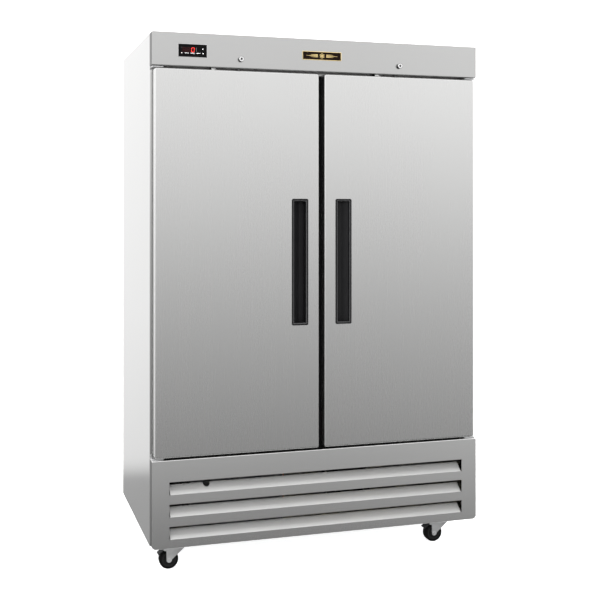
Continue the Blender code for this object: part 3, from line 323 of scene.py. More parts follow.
def loft(x, height, corner, profile, closed=False, steps=6):
    """Rings of one rounded rectangle facing the front. Each profile point is (inset, depth)."""
    part = bmesh.new()
    corners = corner if isinstance(corner, tuple) else (corner,) * 4
    rings = []
    for inset, depth in profile:
        ring_x = (x[0] + inset, x[1] - inset)
        ring_z = (height[0] + inset, height[1] - inset)
        radii = [max(radius - inset, 0.0004) for radius in corners]
        points = rounded(ring_x, ring_z, radii, steps)
        rings.append([part.verts.new(at(px, depth, pz)) for px, pz in points])
    return settle(skinned(part, rings, closed))


def lathe(centre, axis, profile, sides=40, closed=False):
    """A profile of (radius, distance along the axis) turned about an axis through centre."""
    part = bmesh.new()
    where = "XYZ".index(axis)
    rings = []
    for radius, along in profile:
        ring = []
        for index in range(sides):
            angle = 2 * math.pi * (index + 0.5) / sides
            point = [radius * math.cos(angle), radius * math.sin(angle)]
            point.insert(where, along)
            ring.append(part.verts.new(Vector(point) + Vector(centre)))
        rings.append(ring)
    return settle(skinned(part, rings, closed))


def rod(centre, axis, radius, ends, sides):
    return lathe(centre, axis, [(radius, end) for end in ends], sides)


def tube(points, radius, sides=8, closed=False):
    """A round wire or pipe along a line of points."""
    points = [Vector(point) for point in points]
    part = bmesh.new()
    count = len(points)
    rings = []
    normal = None
    for index, point in enumerate(points):
        if closed:
            before, after = points[index - 1], points[(index + 1) % count]
        else:
            before, after = points[max(index - 1, 0)], points[min(index + 1, count - 1)]
        tangent = (after - before).normalized()
        if normal is None:
            helper = Vector((0, 0, 1)) if abs(tangent.z) < 0.9 else Vector((1, 0, 0))
            normal = tangent.cross(helper).normalized()
        normal = (normal - tangent * normal.dot(tangent)).normalized()
        other = tangent.cross(normal)
        ring = []
        for step in range(sides):
            angle = 2 * math.pi * step / sides
            offset = normal * math.cos(angle) + other * math.sin(angle)
            ring.append(part.verts.new(point + offset * radius))
        rings.append(ring)
    return settle(skinned(part, rings, closed))


def object_of(part, name):
    mesh = bpy.data.meshes.new(name)
    part.to_mesh(mesh)
    part.free()
    thing = bpy.data.objects.new(name, mesh)
    bpy.context.scene.collection.objects.link(thing)
    return thing


def carved(part, *tools, operation="DIFFERENCE"):
    """The part after a Boolean with each tool."""
    thing = object_of(part, "carved")
    cutters = [object_of(tool, "tool") for tool in tools]
    for cutter in cutters:
        modifier = thing.modifiers.new("cut", "BOOLEAN")
        modifier.operation = operation
        modifier.solver = "EXACT"
        modifier.object = cutter
    graph = bpy.context.evaluated_depsgraph_get()
    mesh = bpy.data.meshes.new_from_object(thing.evaluated_get(graph))
    result = bmesh.new()
    result.from_mesh(mesh)
    for gone in (thing, *cutters):
        bpy.data.objects.remove(gone, do_unlink=True)
    bpy.data.meshes.remove(mesh)
    return result


def gathered(parts):
    """Several separate parts as one."""
    form = Form()
    for part in parts:
        form.take(part)
    return form.mesh


def piece(name, form, finish_names, body="cabinet", angle=32):
    """Finishes a form as one visible piece that moves with a body."""
    if not isinstance(form, Form):
        form = Form().take(form)
    thing = object_of(form.mesh, name)
    for finish_name in finish_names:
        thing.data.materials.append(FINISH[finish_name])
    thing.data.shade_smooth()
    thing.data.set_sharp_from_angle(angle=math.radians(angle))
    thing.modifiers.new("weighted", "WEIGHTED_NORMAL").keep_sharp = True
    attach(thing, body)
    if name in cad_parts:
        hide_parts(name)


# ---------------------------------------------------------------- materials


class Tree:
    """A node tree, with short ways to add the nodes that the finishes and the studio share."""

    def __init__(self, tree):
        self.tree = tree

    def new(self, kind):
        return self.tree.nodes.new("ShaderNode" + kind)

    def link(self, out, into):
        self.tree.links.new(out, into)

    def ranged(self, out, low, high, to_low, to_high):
        node = self.new("MapRange")
        for name, value in zip(("From Min", "From Max", "To Min", "To Max"), (low, high, to_low, to_high)):
            node.inputs[name].default_value = value
        self.link(out, node.inputs["Value"])
        return node.outputs["Result"]

    def ramp(self, out, stops):
        node = self.new("ValToRGB")
        elements = node.color_ramp.elements
        while len(elements) < len(stops):
            elements.new(0.5)
        for element, (place, colour) in zip(elements, stops):
            element.position = place
            element.color = (*colour, 1.0)
        self.link(out, node.inputs["Fac"])
        return node.outputs["Color"]

    def mixed(self, factor, first, second, blend="MIX"):
        node = self.new("Mix")
        node.data_type = "RGBA"
        node.blend_type = blend
        for socket, value in zip(("Factor", 6, 7), (factor, first, second)):
            into = node.inputs[socket]
            if isinstance(value, bpy.types.NodeSocket):
                self.link(value, into)
            else:
                into.default_value = (*value, 1.0) if isinstance(value, tuple) else value
        return node.outputs[2]


class Finish(Tree):
    """A material on a principled shader, with patterns laid out on the object."""

    def __init__(self, name):
        self.material = bpy.data.materials.new(name)
        self.material.use_nodes = True
        super().__init__(self.material.node_tree)
        self.shader = self.tree.nodes["Principled BSDF"]
        self.coords = self.new("TexCoord").outputs["Object"]

    def pattern(self, kind, scale, stretch):
        mapping = self.new("Mapping")
        mapping.inputs["Scale"].default_value = stretch
        self.link(self.coords, mapping.inputs["Vector"])
        node = self.new(kind)
        node.inputs["Scale"].default_value = scale
        self.link(mapping.outputs["Vector"], node.inputs["Vector"])
        return node

    def noise(self, scale, stretch=(1, 1, 1), detail=4.0, roughness=0.55):
        node = self.pattern("TexNoise", scale, stretch)
        node.inputs["Detail"].default_value = detail
        node.inputs["Roughness"].default_value = roughness
        return node.outputs["Fac"]

    def pointed(self, low=0.52, high=0.60):
        """How far a place stands out as an edge, from 0 to 1."""
        return self.ranged(self.new("NewGeometry").outputs["Pointiness"], low, high, 0.0, 1.0)

    def bump(self, out, strength, distance):
        node = self.new("Bump")
        node.inputs["Strength"].default_value = strength
        node.inputs["Distance"].default_value = distance
        self.link(out, node.inputs["Height"])
        self.link(node.outputs["Normal"], self.shader.inputs["Normal"])

    def fixed(self, socket, value):
        self.shader.inputs[socket].default_value = value

    def varied(self, socket, out):
        self.link(out, self.shader.inputs[socket])


def shaded(colour, factor):
    return tuple(min(channel * factor, 1.0) for channel in colour)


def brushed(name, colour, roughness, along="Z", contrast=0.008, metallic=1.0):
    """Stainless sheet with a fine straight grain, faint wide streaks and smudges."""
    made = Finish(name)
    long_way = 0.012
    stretch = tuple(long_way if axis == along else 1.0 for axis in "XYZ")
    fine = made.noise(620.0, stretch, 3.0)
    wide = made.noise(46.0, stretch, 5.0, 0.65)
    smudge = made.noise(2.6, (1, 1, 0.6), 3.0)
    streaks = made.mixed(0.5, fine, wide)
    tone = made.ramp(
        streaks, [(0.30, shaded(colour, 1 - contrast)), (0.52, colour), (0.72, shaded(colour, 1 + contrast))]
    )
    smudged = made.ranged(smudge, 0.4, 0.7, 0.0, 0.10)
    made.varied("Base Color", made.mixed(smudged, tone, shaded(colour, 0.93)))
    rough = made.mixed(0.35, streaks, smudge)
    made.varied("Roughness", made.ranged(rough, 0.3, 0.7, roughness - 0.02, roughness + 0.02))
    made.bump(fine, 0.008, 0.0002)
    made.fixed("Metallic", metallic)
    made.fixed("Anisotropic", 0.45)
    tangent = made.new("Tangent")
    tangent.direction_type = "RADIAL"
    tangent.axis = along
    made.varied("Tangent", tangent.outputs["Tangent"])
    return made.material


def spangled(name, colour, roughness):
    """Galvanised steel with its crystal spangle."""
    made = Finish(name)
    grey = made.new("RGBToBW")
    made.link(made.pattern("TexVoronoi", 95.0, (1, 1, 1)).outputs["Color"], grey.inputs["Color"])
    crystals = grey.outputs["Val"]
    tone = made.ramp(crystals, [(0.2, shaded(colour, 0.90)), (0.8, shaded(colour, 1.08))])
    blotch = made.ranged(made.noise(7.0), 0.35, 0.7, 0.0, 0.35)
    made.varied("Base Color", made.mixed(blotch, tone, shaded(colour, 0.84)))
    made.varied("Roughness", made.ranged(crystals, 0.0, 1.0, roughness - 0.07, roughness + 0.10))
    made.bump(made.noise(240.0), 0.12, 0.0003)
    made.fixed("Metallic", 1.0)
    return made.material


def worn(name, colour, roughness, metallic=0.0, grain=420.0, bump=0.12, vary=0.10, shine=0.5, wear=None):
    """A moulded, painted, plated or cast finish: fine grain, slow mottling and worn edges."""
    made = Finish(name)
    mottle = made.noise(9.0, (1, 1, 1), 5.0)
    fine = made.noise(grain, (1, 1, 1), 3.0)
    tone = made.ramp(
        mottle, [(0.32, shaded(colour, 1 - vary)), (0.55, colour), (0.75, shaded(colour, 1 + vary))]
    )
    if wear:
        patch = made.noise(60.0, (1, 1, 1), 6.0)
        strength = made.new("Math")
        strength.operation = "MULTIPLY"
        made.link(made.pointed(), strength.inputs[0])
        made.link(made.ranged(patch, 0.42, 0.62, 0.0, 0.8), strength.inputs[1])
        tone = made.mixed(strength.outputs["Value"], tone, wear)
    made.varied("Base Color", tone)
    both = made.mixed(0.5, mottle, fine)
    rough_ends = (max(roughness - 0.03, 0.02), min(roughness + 0.04, 1.0))
    made.varied("Roughness", made.ranged(both, 0.3, 0.7, *rough_ends))
    made.bump(fine, bump, 0.0002)
    made.fixed("Metallic", metallic)
    made.fixed("Specular IOR Level", shine)
    return made.material


def glowing(name, colour, strength):
    """A lit symbol behind the controller's glass, slightly uneven."""
    made = Finish(name)
    spots = made.noise(900.0)
    tone = made.ramp(spots, [(0.3, shaded(colour, 0.8)), (0.7, colour)])
    made.varied("Base Color", tone)
    made.varied("Emission Color", tone)
    made.fixed("Emission Strength", strength)
    made.varied("Roughness", made.ranged(spots, 0.3, 0.7, 0.3, 0.5))
    return made.material


STEEL = (0.66, 0.66, 0.655)
# A brushed finish: share of the steel's colour, roughness, then grain direction, contrast, metallic
# The shares are painted light and shade: the header, side and flap copies of this one steel are darker and
# the base copy lighter, for how light falls on each panel.
BRUSHED = {
    "brushed_stainless": (1.0, 0.27),
    "painted_shade_header_steel": (0.75, 0.25),
    "painted_light_base_steel": (1.42, 0.21),
    "painted_shade_side_steel": (0.94, 0.13),
    "painted_shade_return_steel": (0.22, 0.40),
    "painted_shade_flap_steel": (0.58, 0.50, "X", 0.02, 0.45),
    "frame_stainless": (0.85, 0.33, "Z", 0.04),
}
# A worn finish: colour, roughness, metallic, grain, then bump, mottling, shine and the worn edges' colour
WORN = {
    "white_liner": ((0.42, 0.425, 0.42), 0.34, 0.0, 300.0, 0.05, 0.04),
    "foam": ((0.72, 0.62, 0.36), 0.92, 0.0, 260.0, 0.6, 0.14),
    "black_plastic": ((0.006, 0.006, 0.0065), 0.42, 0.0, 700.0, 0.1, 0.08, 0.16),
    "black_glass": ((0.002, 0.002, 0.002), 0.09, 0.0, 200.0, 0.01, 0.2, 0.05),
    "badge_black": ((0.006, 0.003, 0.002), 0.30, 0.0, 500.0, 0.02, 0.2, 0.05),
    "gasket_vinyl": ((0.025, 0.025, 0.027), 0.55, 0.0, 500.0, 0.2, 0.15, 0.25),
    "painted_shade_lock_ring": ((0.10, 0.10, 0.10), 0.22, 1.0, 300.0, 0.02, 0.05),
    "painted_shade_black": ((0.004, 0.004, 0.0045), 0.60, 0.0, 500.0, 0.05, 0.1, 0.10),
    "painted_highlight_rim": ((0.030, 0.030, 0.031), 0.30, 0.0, 500.0, 0.05, 0.1),
    "chrome": ((0.95, 0.95, 0.95), 0.14, 1.0, 300.0, 0.02, 0.03),
    "zinc_plate": ((0.45, 0.452, 0.455), 0.34, 0.7, 340.0, 0.28, 0.34, 0.5, (0.62, 0.62, 0.63)),
    "bright_zinc": ((0.90, 0.90, 0.89), 0.32, 0.35, 340.0, 0.06, 0.05),
    "coated_wire": ((0.24, 0.245, 0.25), 0.36, 0.0, 600.0, 0.06, 0.05),
    "aluminium_fins": ((0.72, 0.73, 0.74), 0.42, 1.0, 500.0, 0.08, 0.08),
    "black_paint": ((0.012, 0.012, 0.013), 0.46, 0.0, 380.0, 0.14, 0.10, 0.25),
    "black_rubber": ((0.003, 0.003, 0.003), 0.72, 0.0, 650.0, 0.3, 0.2, 0.05),
    "wheel_core": ((0.008, 0.008, 0.008), 0.50, 0.0, 500.0, 0.2, 0.10, 0.1),
    "gold": ((0.95, 0.72, 0.32), 0.30, 0.8, 420.0, 0.05, 0.14),
    "copper": ((0.70, 0.34, 0.20), 0.34, 1.0, 260.0, 0.08, 0.16, 0.5, (0.30, 0.18, 0.12)),
    "wire_black": ((0.03, 0.03, 0.032), 0.5, 0.0, 500.0, 0.1),
    "lamp_lens": ((0.85, 0.86, 0.84), 0.28, 0.0, 200.0, 0.08, 0.04),
    "red_unlit": ((0.040, 0.006, 0.006), 0.3, 0.0, 400.0, 0.02, 0.10, 0.1),
    "grey_mark": ((0.16, 0.16, 0.17), 0.4, 0.0, 400.0, 0.02),
}
FINISH = {name: brushed(name, shaded(STEEL, share), *rest) for name, (share, *rest) in BRUSHED.items()}
FINISH.update({name: worn(name, *values) for name, values in WORN.items()})
FINISH["galvanised_steel"] = spangled("galvanised_steel", (0.50, 0.51, 0.52), 0.42)
FINISH["red_lit"] = glowing("red_lit", (0.85, 0.03, 0.02), 1.1)
FINISH["white_lit"] = glowing("white_lit", (0.9, 0.9, 0.9), 0.85)


# ---------------------------------------------------------------- small parts


def hex_screw(form, place, direction, material=0, radius=0.0042):
    """A hexagon washer-head screw that stands 3 mm proud along a signed axis such as "-Y"."""
    axis = direction[1]
    sign = 1 if direction[0] == "+" else -1
    washer = ((1.55, 0.0), (1.55, 0.0006), (1.2, 0.0009))
    head = ((1.0, 0.0008), (1.0, 0.0026), (0.8, 0.0031))
    for shape, sides in ((washer, 20), (head, 6)):
        profile = [(radius * share, sign * rise) for share, rise in shape]
        form.take(lathe(place, axis, profile, sides), material)


def bend_profile(wall_depth, radius=BEND, steps=6):
    """(inset, depth) points of a folded pan: inner face, inner wall, outer wall, outer face."""
    inner = arc((radius, radius), radius - SHEET, 270, 180, steps)
    outer = arc((radius, radius), radius, 180, 270, steps)
    return [*inner, (SHEET, wall_depth), (0.0, wall_depth), *outer]


# ---------------------------------------------------------------- cabinet


def side_panel(name, side):
    """A sheet with its front edge folded in."""
    edge = HALF_WIDTH - SHEET
    fold = HALF_WIDTH - 0.024
    outline = [
        (edge, FRAME_DEPTH), *arc((edge, FRAME_DEPTH + SHEET), SHEET, -90, 0, 4)[1:],
        (HALF_WIDTH, DEPTH - 0.001), (HALF_WIDTH - 0.001, DEPTH), (edge - 0.0002, DEPTH),
        (edge, DEPTH - 0.001), (edge, FRAME_DEPTH + SHEET), (fold, FRAME_DEPTH + SHEET), (fold, FRAME_DEPTH),
    ]
    panel = prism([(side * x, depth) for x, depth in outline], "Z", 0.0, BODY_HEIGHT, 0.0003)
    # The side panels' steel is a darker copy of the doors' steel, painted shade.
    piece(name, panel, ["painted_shade_side_steel"])


def top_panel():
    x = about(0, HALF_WIDTH - SHEET - GAP)
    panel = box(x, (FRAME_DEPTH + 0.0015, DEPTH), (BODY_HEIGHT - SHEET, BODY_HEIGHT - 0.0001), 0.0004)
    piece("top_panel", panel, ["galvanised_steel"])


def back_panel():
    """The outer back sheet, with pressed stiffening beads."""
    low, high = MACHINE_TOP + GAP, BODY_HEIGHT - SHEET - GAP
    pressing = [(0.0, DEPTH + 0.001), (0.0, DEPTH - 0.0002), (0.004, DEPTH - 0.0009), (0.006, DEPTH - 0.0009)]
    beads = [
        loft(about(BACK_BEAD_PITCH * (index - 1.5), 0.105), (low + 0.12, high - 0.12), 0.02, pressing)
        for index in range(4)
    ]
    sheet = box(about(0, HALF_WIDTH - SHEET - GAP), (DEPTH - 0.0024, DEPTH - 0.0001), (low, high), 0.0003)
    piece("back_panel", carved(sheet, *beads), ["galvanised_steel"])


def cabinet_screws():
    """Screws round the machine compartment's rear panel."""
    form = Form()
    inner = HALF_WIDTH - 0.016
    for index in range(9):
        x = -inner + 2 * inner * index / 8
        for height in (MACHINE_TOP - 0.014, 0.012):
            hex_screw(form, at(x, DEPTH - 0.0036, height), "+Y", radius=0.0036)
    piece("rear_screws", form, ["zinc_plate"])


def inner_liner():
    """The food compartment's lining with rounded corners and slotted shelf standards."""
    half = CAVITY_HALF - GAP
    inner = half - SHEET
    low = CAVITY_LOW + GAP
    outer = box(about(0, half), (BEAM_BACK + GAP, CAVITY_BACK - GAP), (low, CAVITY_HIGH - GAP))
    mouth = box(about(0, half), (0.0555, BEAM_BACK + 0.024), (low, OPENING_HIGH + 0.0017))
    room = box(
        about(0, inner), (BEAM_BACK + GAP + SHEET, CAVITY_BACK - GAP - SHEET),
        (low + SHEET, CAVITY_HIGH - GAP - SHEET), 0.014, 4,
    )
    front = box(about(0, inner), (0.030, BEAM_BACK + 0.040), (low + SHEET, OPENING_HIGH + 0.0007), 0.006, 3)
    form = Form().take(carved(carved(outer, mouth, operation="UNION"), room, front))
    face = half - 0.001
    for side in SIDES.values():
        for depth in STANDARD_DEPTHS:
            x = span(side, face - 0.004, face + 0.0003)
            form.take(standard(x, about(depth, STANDARD_HALF), side), 1)
    form.take(standard(about(0, STANDARD_HALF), (CAVITY_BACK - 0.0053, CAVITY_BACK - 0.001)), 1)
    piece("inner_liner", form, ["white_liner", "frame_stainless"])


def standard(x, depth, side=0):
    """A slotted shelf standard, on a side wall or with side 0 on the back wall."""
    low, high = OPENING_LOW + 0.004, EVAPORATOR_HEIGHT[0] - 0.010
    cut_x, cut_depth = about(0, STANDARD_SLOT_HALF), (depth[0] - 0.01, depth[1] - SHEET)
    if side:
        cut_x = (x[0] - 0.01, x[1] - SHEET) if side > 0 else (x[0] + SHEET, x[1] + 0.01)
        cut_depth = about(sum(depth) / 2, STANDARD_SLOT_HALF)
    slots = []
    for index in range(int((high - low - 0.03) / STANDARD_PITCH)):
        start = low + 0.025 + index * STANDARD_PITCH
        slots.append(box(cut_x, cut_depth, (start, start + 0.0045)))
    return carved(box(x, depth, (low, high), 0.0012), gathered(slots))


def mullion():
    """The strip behind the doors' meeting edges, faced for both gaskets, with a groove each side. Its black
    body and face are painted shade for the gap between the doors; its face above the doors is steel.
    """
    x = about(0, MULLION_HALF)
    body = box(x, (FRAME_DEPTH + 0.0005, MULLION_BACK), (OPENING_LOW + GAP, OPENING_HIGH - GAP), 0.004, 3)
    groove_depth = (FRAME_DEPTH - 0.002, FRAME_DEPTH + 0.0022)
    grooves = [
        box(span(side, 0.0065, 0.0085), groove_depth, (OPENING_LOW - 0.01, OPENING_HIGH + 0.01))
        for side in SIDES.values()
    ]
    form = Form().take(carved(body, *grooves))
    join = DOOR_HIGH - 0.003
    # The face is black, painted shade, up to the doors' top and steel above.
    for material, height in enumerate(((MULLION_FLANGE[0], join), (join, MULLION_FLANGE[1]))):
        form.take(box(x, (FRAME_DEPTH + 0.0001, FRAME_DEPTH + SHEET), height, 0.0002, 1), material)
    piece("center_mullion", form, ["painted_shade_black", "frame_stainless"])


def breaker_strips():
    """Moulded strips that cover the joint of the face frame and the liner round the mouth."""
    sill_depth = (0.0475, FRAME_DEPTH - GAP)
    # The sill strip's black is painted shade for the gap under the doors.
    sill = box(about(0, 0.630), sill_depth, (GRILLE_HIGH + 0.0009, DOOR_LOW - 0.0008), 0.0006)
    piece("sill_strip", sill, ["painted_shade_black"])
    profile = [
        (0.0, 0.0560), (0.0, 0.0700), (0.0006, 0.0716), (0.0022, 0.0716), (0.0030, 0.0700), (0.0030, 0.0572),
        (0.0018, 0.0560),
    ]
    tall = (OPENING_LOW + 0.0008, OPENING_HIGH - 0.0002)
    strips = loft(about(0, 0.6258), tall, 0.006, profile, closed=True)
    piece("breaker_strips", strips, ["white_liner"])


def machine_rear_panel():
    """A louvred sheet with the power cord's gland."""
    back = DEPTH - 0.004
    slots, hoods = [], []
    through = [(0, back - 0.01), (0, back + 0.01)]
    hood_outline = [
        (back - 0.0006, 0.0128), (back - 0.0006, 0.0116), (back + 0.0034, 0.0032), (back + 0.0038, 0.0042),
    ]
    for column in (-1, 0, 1):
        for row in range(VENT_ROWS):
            middle = column * VENT_PITCH[0] + VENT_OFFSET
            low = 0.110 + row * VENT_PITCH[1]
            slots.append(loft(about(middle, 0.10), (low, low + 0.012), 0.0055, through))
            hood = [(depth, low + rise) for depth, rise in hood_outline]
            hoods.append(prism(hood, "X", *about(middle, 0.099), 0.0002, 1))
    sheet_x = about(0, HALF_WIDTH - SHEET - GAP)
    sheet = box(sheet_x, (back - SHEET, back), (0.0005, MACHINE_TOP - 0.0005), 0.0003)
    form = Form().take(carved(sheet, gathered(slots)))
    for hood in hoods:
        form.take(hood)
    gland = [
        (0.0062, -0.008), (0.0150, -0.008), (0.0150, 0.0020), (0.0135, 0.0030), (0.0135, 0.0046),
        (0.0120, 0.0050), (0.0062, 0.0050),
    ]
    form.take(lathe(at(CORD_GLAND[0], back - 0.001, CORD_GLAND[1]), "Y", gland, 32, closed=True), 1)
    piece("machine_rear_panel", form, ["galvanised_steel", "black_plastic"])


# ---------------------------------------------------------------- header


def header_panel():
    """A folded pan with a window for the controller and a hole for each lock."""
    folded = bend_profile(FRAME_DEPTH - GAP, radius=PAN_BEND, steps=4)
    shell = loft(about(0, HALF_WIDTH), (HEADER_LOW, BODY_HEIGHT), 0.003, folded, steps=4)
    lip = box(about(0, HALF_WIDTH - SHEET), (HEADER_LIP, 0.06), (HEADER_LOW - 0.002, HEADER_LOW + 0.0024))
    through = (-0.003, 0.004)
    window = box(about(DISPLAY[0], 0.051), through, about(DISPLAY[1], 0.0185))
    holes = [rod(at(side * LOCK_X, 0, LOCK_HEIGHT), "Y", 0.0093, through, 32) for side in SIDES.values()]
    form = Form().take(carved(shell, lip, window, *holes))
    # The header's darker steel and the much darker steel on its sideways returns are painted shade.
    paint_shade_on_returns(form.mesh, 1)
    piece("header_panel", form, ["painted_shade_header_steel", "painted_shade_return_steel"], angle=20)


def seven_segments(form, x, height, lit):
    """A slanted seven-segment figure. lit holds the segments that shine, of "abcdefg"."""
    half_x, half_z = FIGURE_SIZE[0] / 2, FIGURE_SIZE[1] / 2
    places = {
        "a": (0, half_z, True), "g": (0, 0, True), "d": (0, -half_z, True),
        "f": (-half_x, half_z / 2, False), "b": (half_x, half_z / 2, False),
        "e": (-half_x, -half_z / 2, False), "c": (half_x, -half_z / 2, False),
    }
    for name, (dx, dz, flat) in places.items():
        reach = (half_x if flat else half_z / 2) - FIGURE_STROKE * 0.62
        outline = []
        for along, across in ((-1, 0), (-0.8, 1), (0.8, 1), (1, 0), (0.8, -1), (-0.8, -1)):
            run, rise = along * reach, across * FIGURE_STROKE / 2
            px, pz = (run, rise) if flat else (rise, run)
            px, pz = px + dx, pz + dz
            outline.append((x + px + FIGURE_SLANT * pz / half_z, height + pz))
        form.take(prism(outline, "Y", *MARK_DEPTH), 0 if name in lit else 1)


def stroke(middle, first, second, angle, half):
    """The outline of a bar between two points round a middle, at an angle and with a half width."""
    nx, nz = -half * math.sin(angle), half * math.cos(angle)
    corners = ((first, 1), (second, 1), (second, -1), (first, -1))
    return [(middle[0] + px + sign * nx, middle[1] + pz + sign * nz) for (px, pz), sign in corners]


def polar(reach, angle):
    return (reach * math.cos(angle), reach * math.sin(angle))


def controller():
    """Glass-fronted controller with a bright edge, figures and key symbols."""
    x, height = DISPLAY
    outer_x, outer_z = about(x, DISPLAY_HALF[0]), about(height, DISPLAY_HALF[1])
    edge = [(0.0, -GAP), (0.0, -0.0010), (0.0003, -0.0014), (0.0009, -0.0016), (0.0009, -GAP)]
    form = Form().take(loft(outer_x, outer_z, 0.003, edge, closed=True), 1)
    form.take(loft(outer_x, outer_z, 0.003, [(0.0009, -GAP), (0.0009, -0.0015), (0.0014, -PROUD)]))
    form.take(box(about(x, 0.050), (-0.0002, 0.038), about(height, 0.0175), 0.001), 2)
    piece("controller_housing", form, ["black_glass", "chrome", "black_plastic"])

    figures = Form()
    for offset, lit in ((0.0010, "abcdef"), (-0.0165, ""), (-0.0330, "")):
        seven_segments(figures, x + offset, height + 0.0024, lit)
    piece("controller_figures", figures, ["red_lit", "red_unlit"])

    marks = Form()

    def mark(wide, tall, material=0):
        mark_x, mark_z = (x + wide[0], x + wide[1]), (height + tall[0], height + tall[1])
        marks.take(box(mark_x, MARK_DEPTH, mark_z), material)

    mark((0.0140, 0.0148), (-0.004, 0.011), 1)
    dots = ((0.040, 0.0066, 0.0016, 0), (-0.044, 0.0110, 0.0010, 1), (-0.043, -0.0105, 0.0016, 0))
    for dx, dz, radius, material in dots:
        marks.take(rod(at(x + dx, 0, height + dz), "Y", radius, MARK_DEPTH, 16), material)
    steps = 5
    for low_x, high_x in ((-0.0310, -0.0145), (-0.0086, 0.0094), (0.0150, 0.0310)):
        pitch = (high_x - low_x) / steps
        for index in range(steps):
            start = low_x + index * pitch
            tall = (-0.0112 - 0.0004 * (index % 2), -0.0098 + 0.0004 * (index % 3))
            mark((start, start + pitch * 0.5), tall)
    for turn in range(3):
        angle = math.pi * turn / 3
        ends = (polar(0.0022, angle), polar(-0.0022, angle))
        star = stroke((x + 0.041, height - 0.0105), *ends, angle, 0.0003)
        marks.take(prism(star, "Y", *MARK_DEPTH))
    piece("controller_symbols", marks, ["white_lit", "grey_mark"])


def name_badge():
    """A black plate with a gilt edge and a plain snow-star ornament between two tapered bars."""
    outer_x, outer_z = about(0, BADGE_HALF[0]), about(BADGE_HEIGHT, BADGE_HALF[1])
    plate = [(0.0, -GAP), (0.0, -0.0010), (0.0005, -0.0014), (0.0012, -0.0014)]
    form = Form().take(loft(outer_x, outer_z, 0.002, plate))
    edge = [
        (0.0, -0.0006), (0.0, -0.0015), (0.0004, -PROUD), (0.0012, -PROUD), (0.0016, -0.0014),
        (0.0016, -0.0010),
    ]
    form.take(loft(outer_x, outer_z, 0.002, edge, closed=True), 1)
    middle = (0.0, BADGE_HEIGHT)
    strokes = []
    for turn in range(3):
        angle = math.pi * (turn / 3 + 0.5)
        strokes.append(stroke(middle, polar(0.0105, angle), polar(-0.0105, angle), angle, 0.0009))
    for turn in range(6):
        angle = math.pi * (turn / 3 + 0.5)
        for tilt in (-0.9, 0.9):
            start, run = polar(0.0062, angle), polar(0.0042, angle + tilt)
            end = (start[0] + run[0], start[1] + run[1])
            strokes.append(stroke(middle, start, end, angle + tilt, 0.0006))
    for side in SIDES.values():
        for rise in (-0.0045, 0.0, 0.0045):
            reach = 0.066 - abs(rise) * 4
            ends = ((0.018, -0.0011), (reach, -0.0003), (reach, 0.0003), (0.018, 0.0011))
            strokes.append([(side * px, BADGE_HEIGHT + rise + pz) for px, pz in ends])
    for outline in strokes:
        form.take(prism(outline, "Y", -0.0017, -0.0012), 1)
    piece("name_badge", form, ["badge_black", "gold"])


def lock(name, side):
    """A cam lock: bright barrel in a dark ring that is painted shade for the barrel's shaded side and its
    shadow, and the plug with its keyway, cam and nut.
    """
    place = at(side * LOCK_X, 0, LOCK_HEIGHT)
    front = -LOCK_PROUD
    barrel = [
        (0.0064, front + 0.0004), (0.0068, front + 0.0001), (0.0088, front + 0.0001),
        (0.0094, front + 0.0006), (0.0094, -GAP), (0.0086, -GAP), (0.0086, 0.036), (0.0064, 0.036),
    ]
    ring = [
        (0.0092, front + 0.0014), (0.0096, front + 0.0004), (0.0103, front + 0.0012), (0.0103, -GAP),
        (0.0092, -GAP),
    ]
    form = Form().take(lathe(place, "Y", barrel, 48, closed=True))
    # The dark outer ring is painted shade for the barrel's shaded side and its shadow.
    form.take(lathe(place, "Y", ring, 48, closed=True), 1)
    thread = [(0.0088, 0.005)]
    for index in range(9):
        thread += [(0.0092, 0.006 + index * 0.0015), (0.0087, 0.0067 + index * 0.0015)]
    thread += [(0.0086, 0.019), (0.0086, 0.005)]
    form.take(lathe(place, "Y", thread, 24, closed=True))
    piece(f"lock_barrel_{name}", form, ["chrome", "painted_shade_lock_ring"])

    face = [(0.0054, front + 0.0002), (0.0060, front + 0.0008), (0.0060, 0.0388), (0.0050, 0.0388)]
    x, slit = side * LOCK_X, about(LOCK_HEIGHT, 0.0036)
    keyway = box(about(x, 0.0009), (front - 0.002, -0.0050), slit)
    plug = Form().take(carved(lathe(place, "Y", face, 40), keyway))
    cam = [
        *arc((0, 0), 0.006, 0, 180, 10), (-0.006, -0.034), *arc((0, -0.0355), 0.005, 190, 350, 8),
        (0.006, -0.034),
    ]
    plug.take(prism([(x + dx, LOCK_HEIGHT + dz) for dx, dz in cam], "Y", 0.0385, 0.0415, 0.0004), 1)
    plug.take(lathe(place, "Y", [(0.0040, 0.0413), (0.0040, 0.0440), (0.0032, 0.0448)], 6), 1)
    # The black block at the bottom of the keyway and the black disc on the plug's face are painted shade for
    # the dark keyhole.
    plug.take(box(about(x, 0.0012), (-0.0062, -0.0048), slit), 2)
    plug.take(rod(place, "Y", 0.0043, (front + 0.0001, front + 0.0012), 24), 2)
    piece(f"lock_plug_{name}", plug, ["chrome", "zinc_plate", "painted_shade_black"], f"lock_{name}")


def switch_x(side):
    return side * (DOOR_OUTER + DOOR_INNER) / 2 - 0.0975


def door_switch(name, side):
    """The light switch's plunger and the moulded collar that it slides in."""
    start = STRIKER_DEPTH + 0.0018 + GAP
    place = at(switch_x(side), 0, SWITCH_HEIGHT)
    plunger = [
        (0.0012, start + 0.0001), (0.0024, start + 0.0006), (0.0030, start + 0.0018), (0.0030, 0.064),
        (0.0024, 0.064),
    ]
    node = f"door_switch_plunger_{name}"
    piece(node, lathe(place, "Y", plunger, 24), ["chrome"], f"switch_{name}")
    collar = [
        (0.0037, 0.0455), (0.0052, 0.0455), (0.0062, 0.0470), (0.0062, 0.0505), (0.0080, 0.0512),
        (0.0080, 0.0538), (0.0037, 0.0538),
    ]
    piece(f"door_switch_collar_{name}", lathe(place, "Y", collar, 28, closed=True), ["black_plastic"])


# ---------------------------------------------------------------- doors


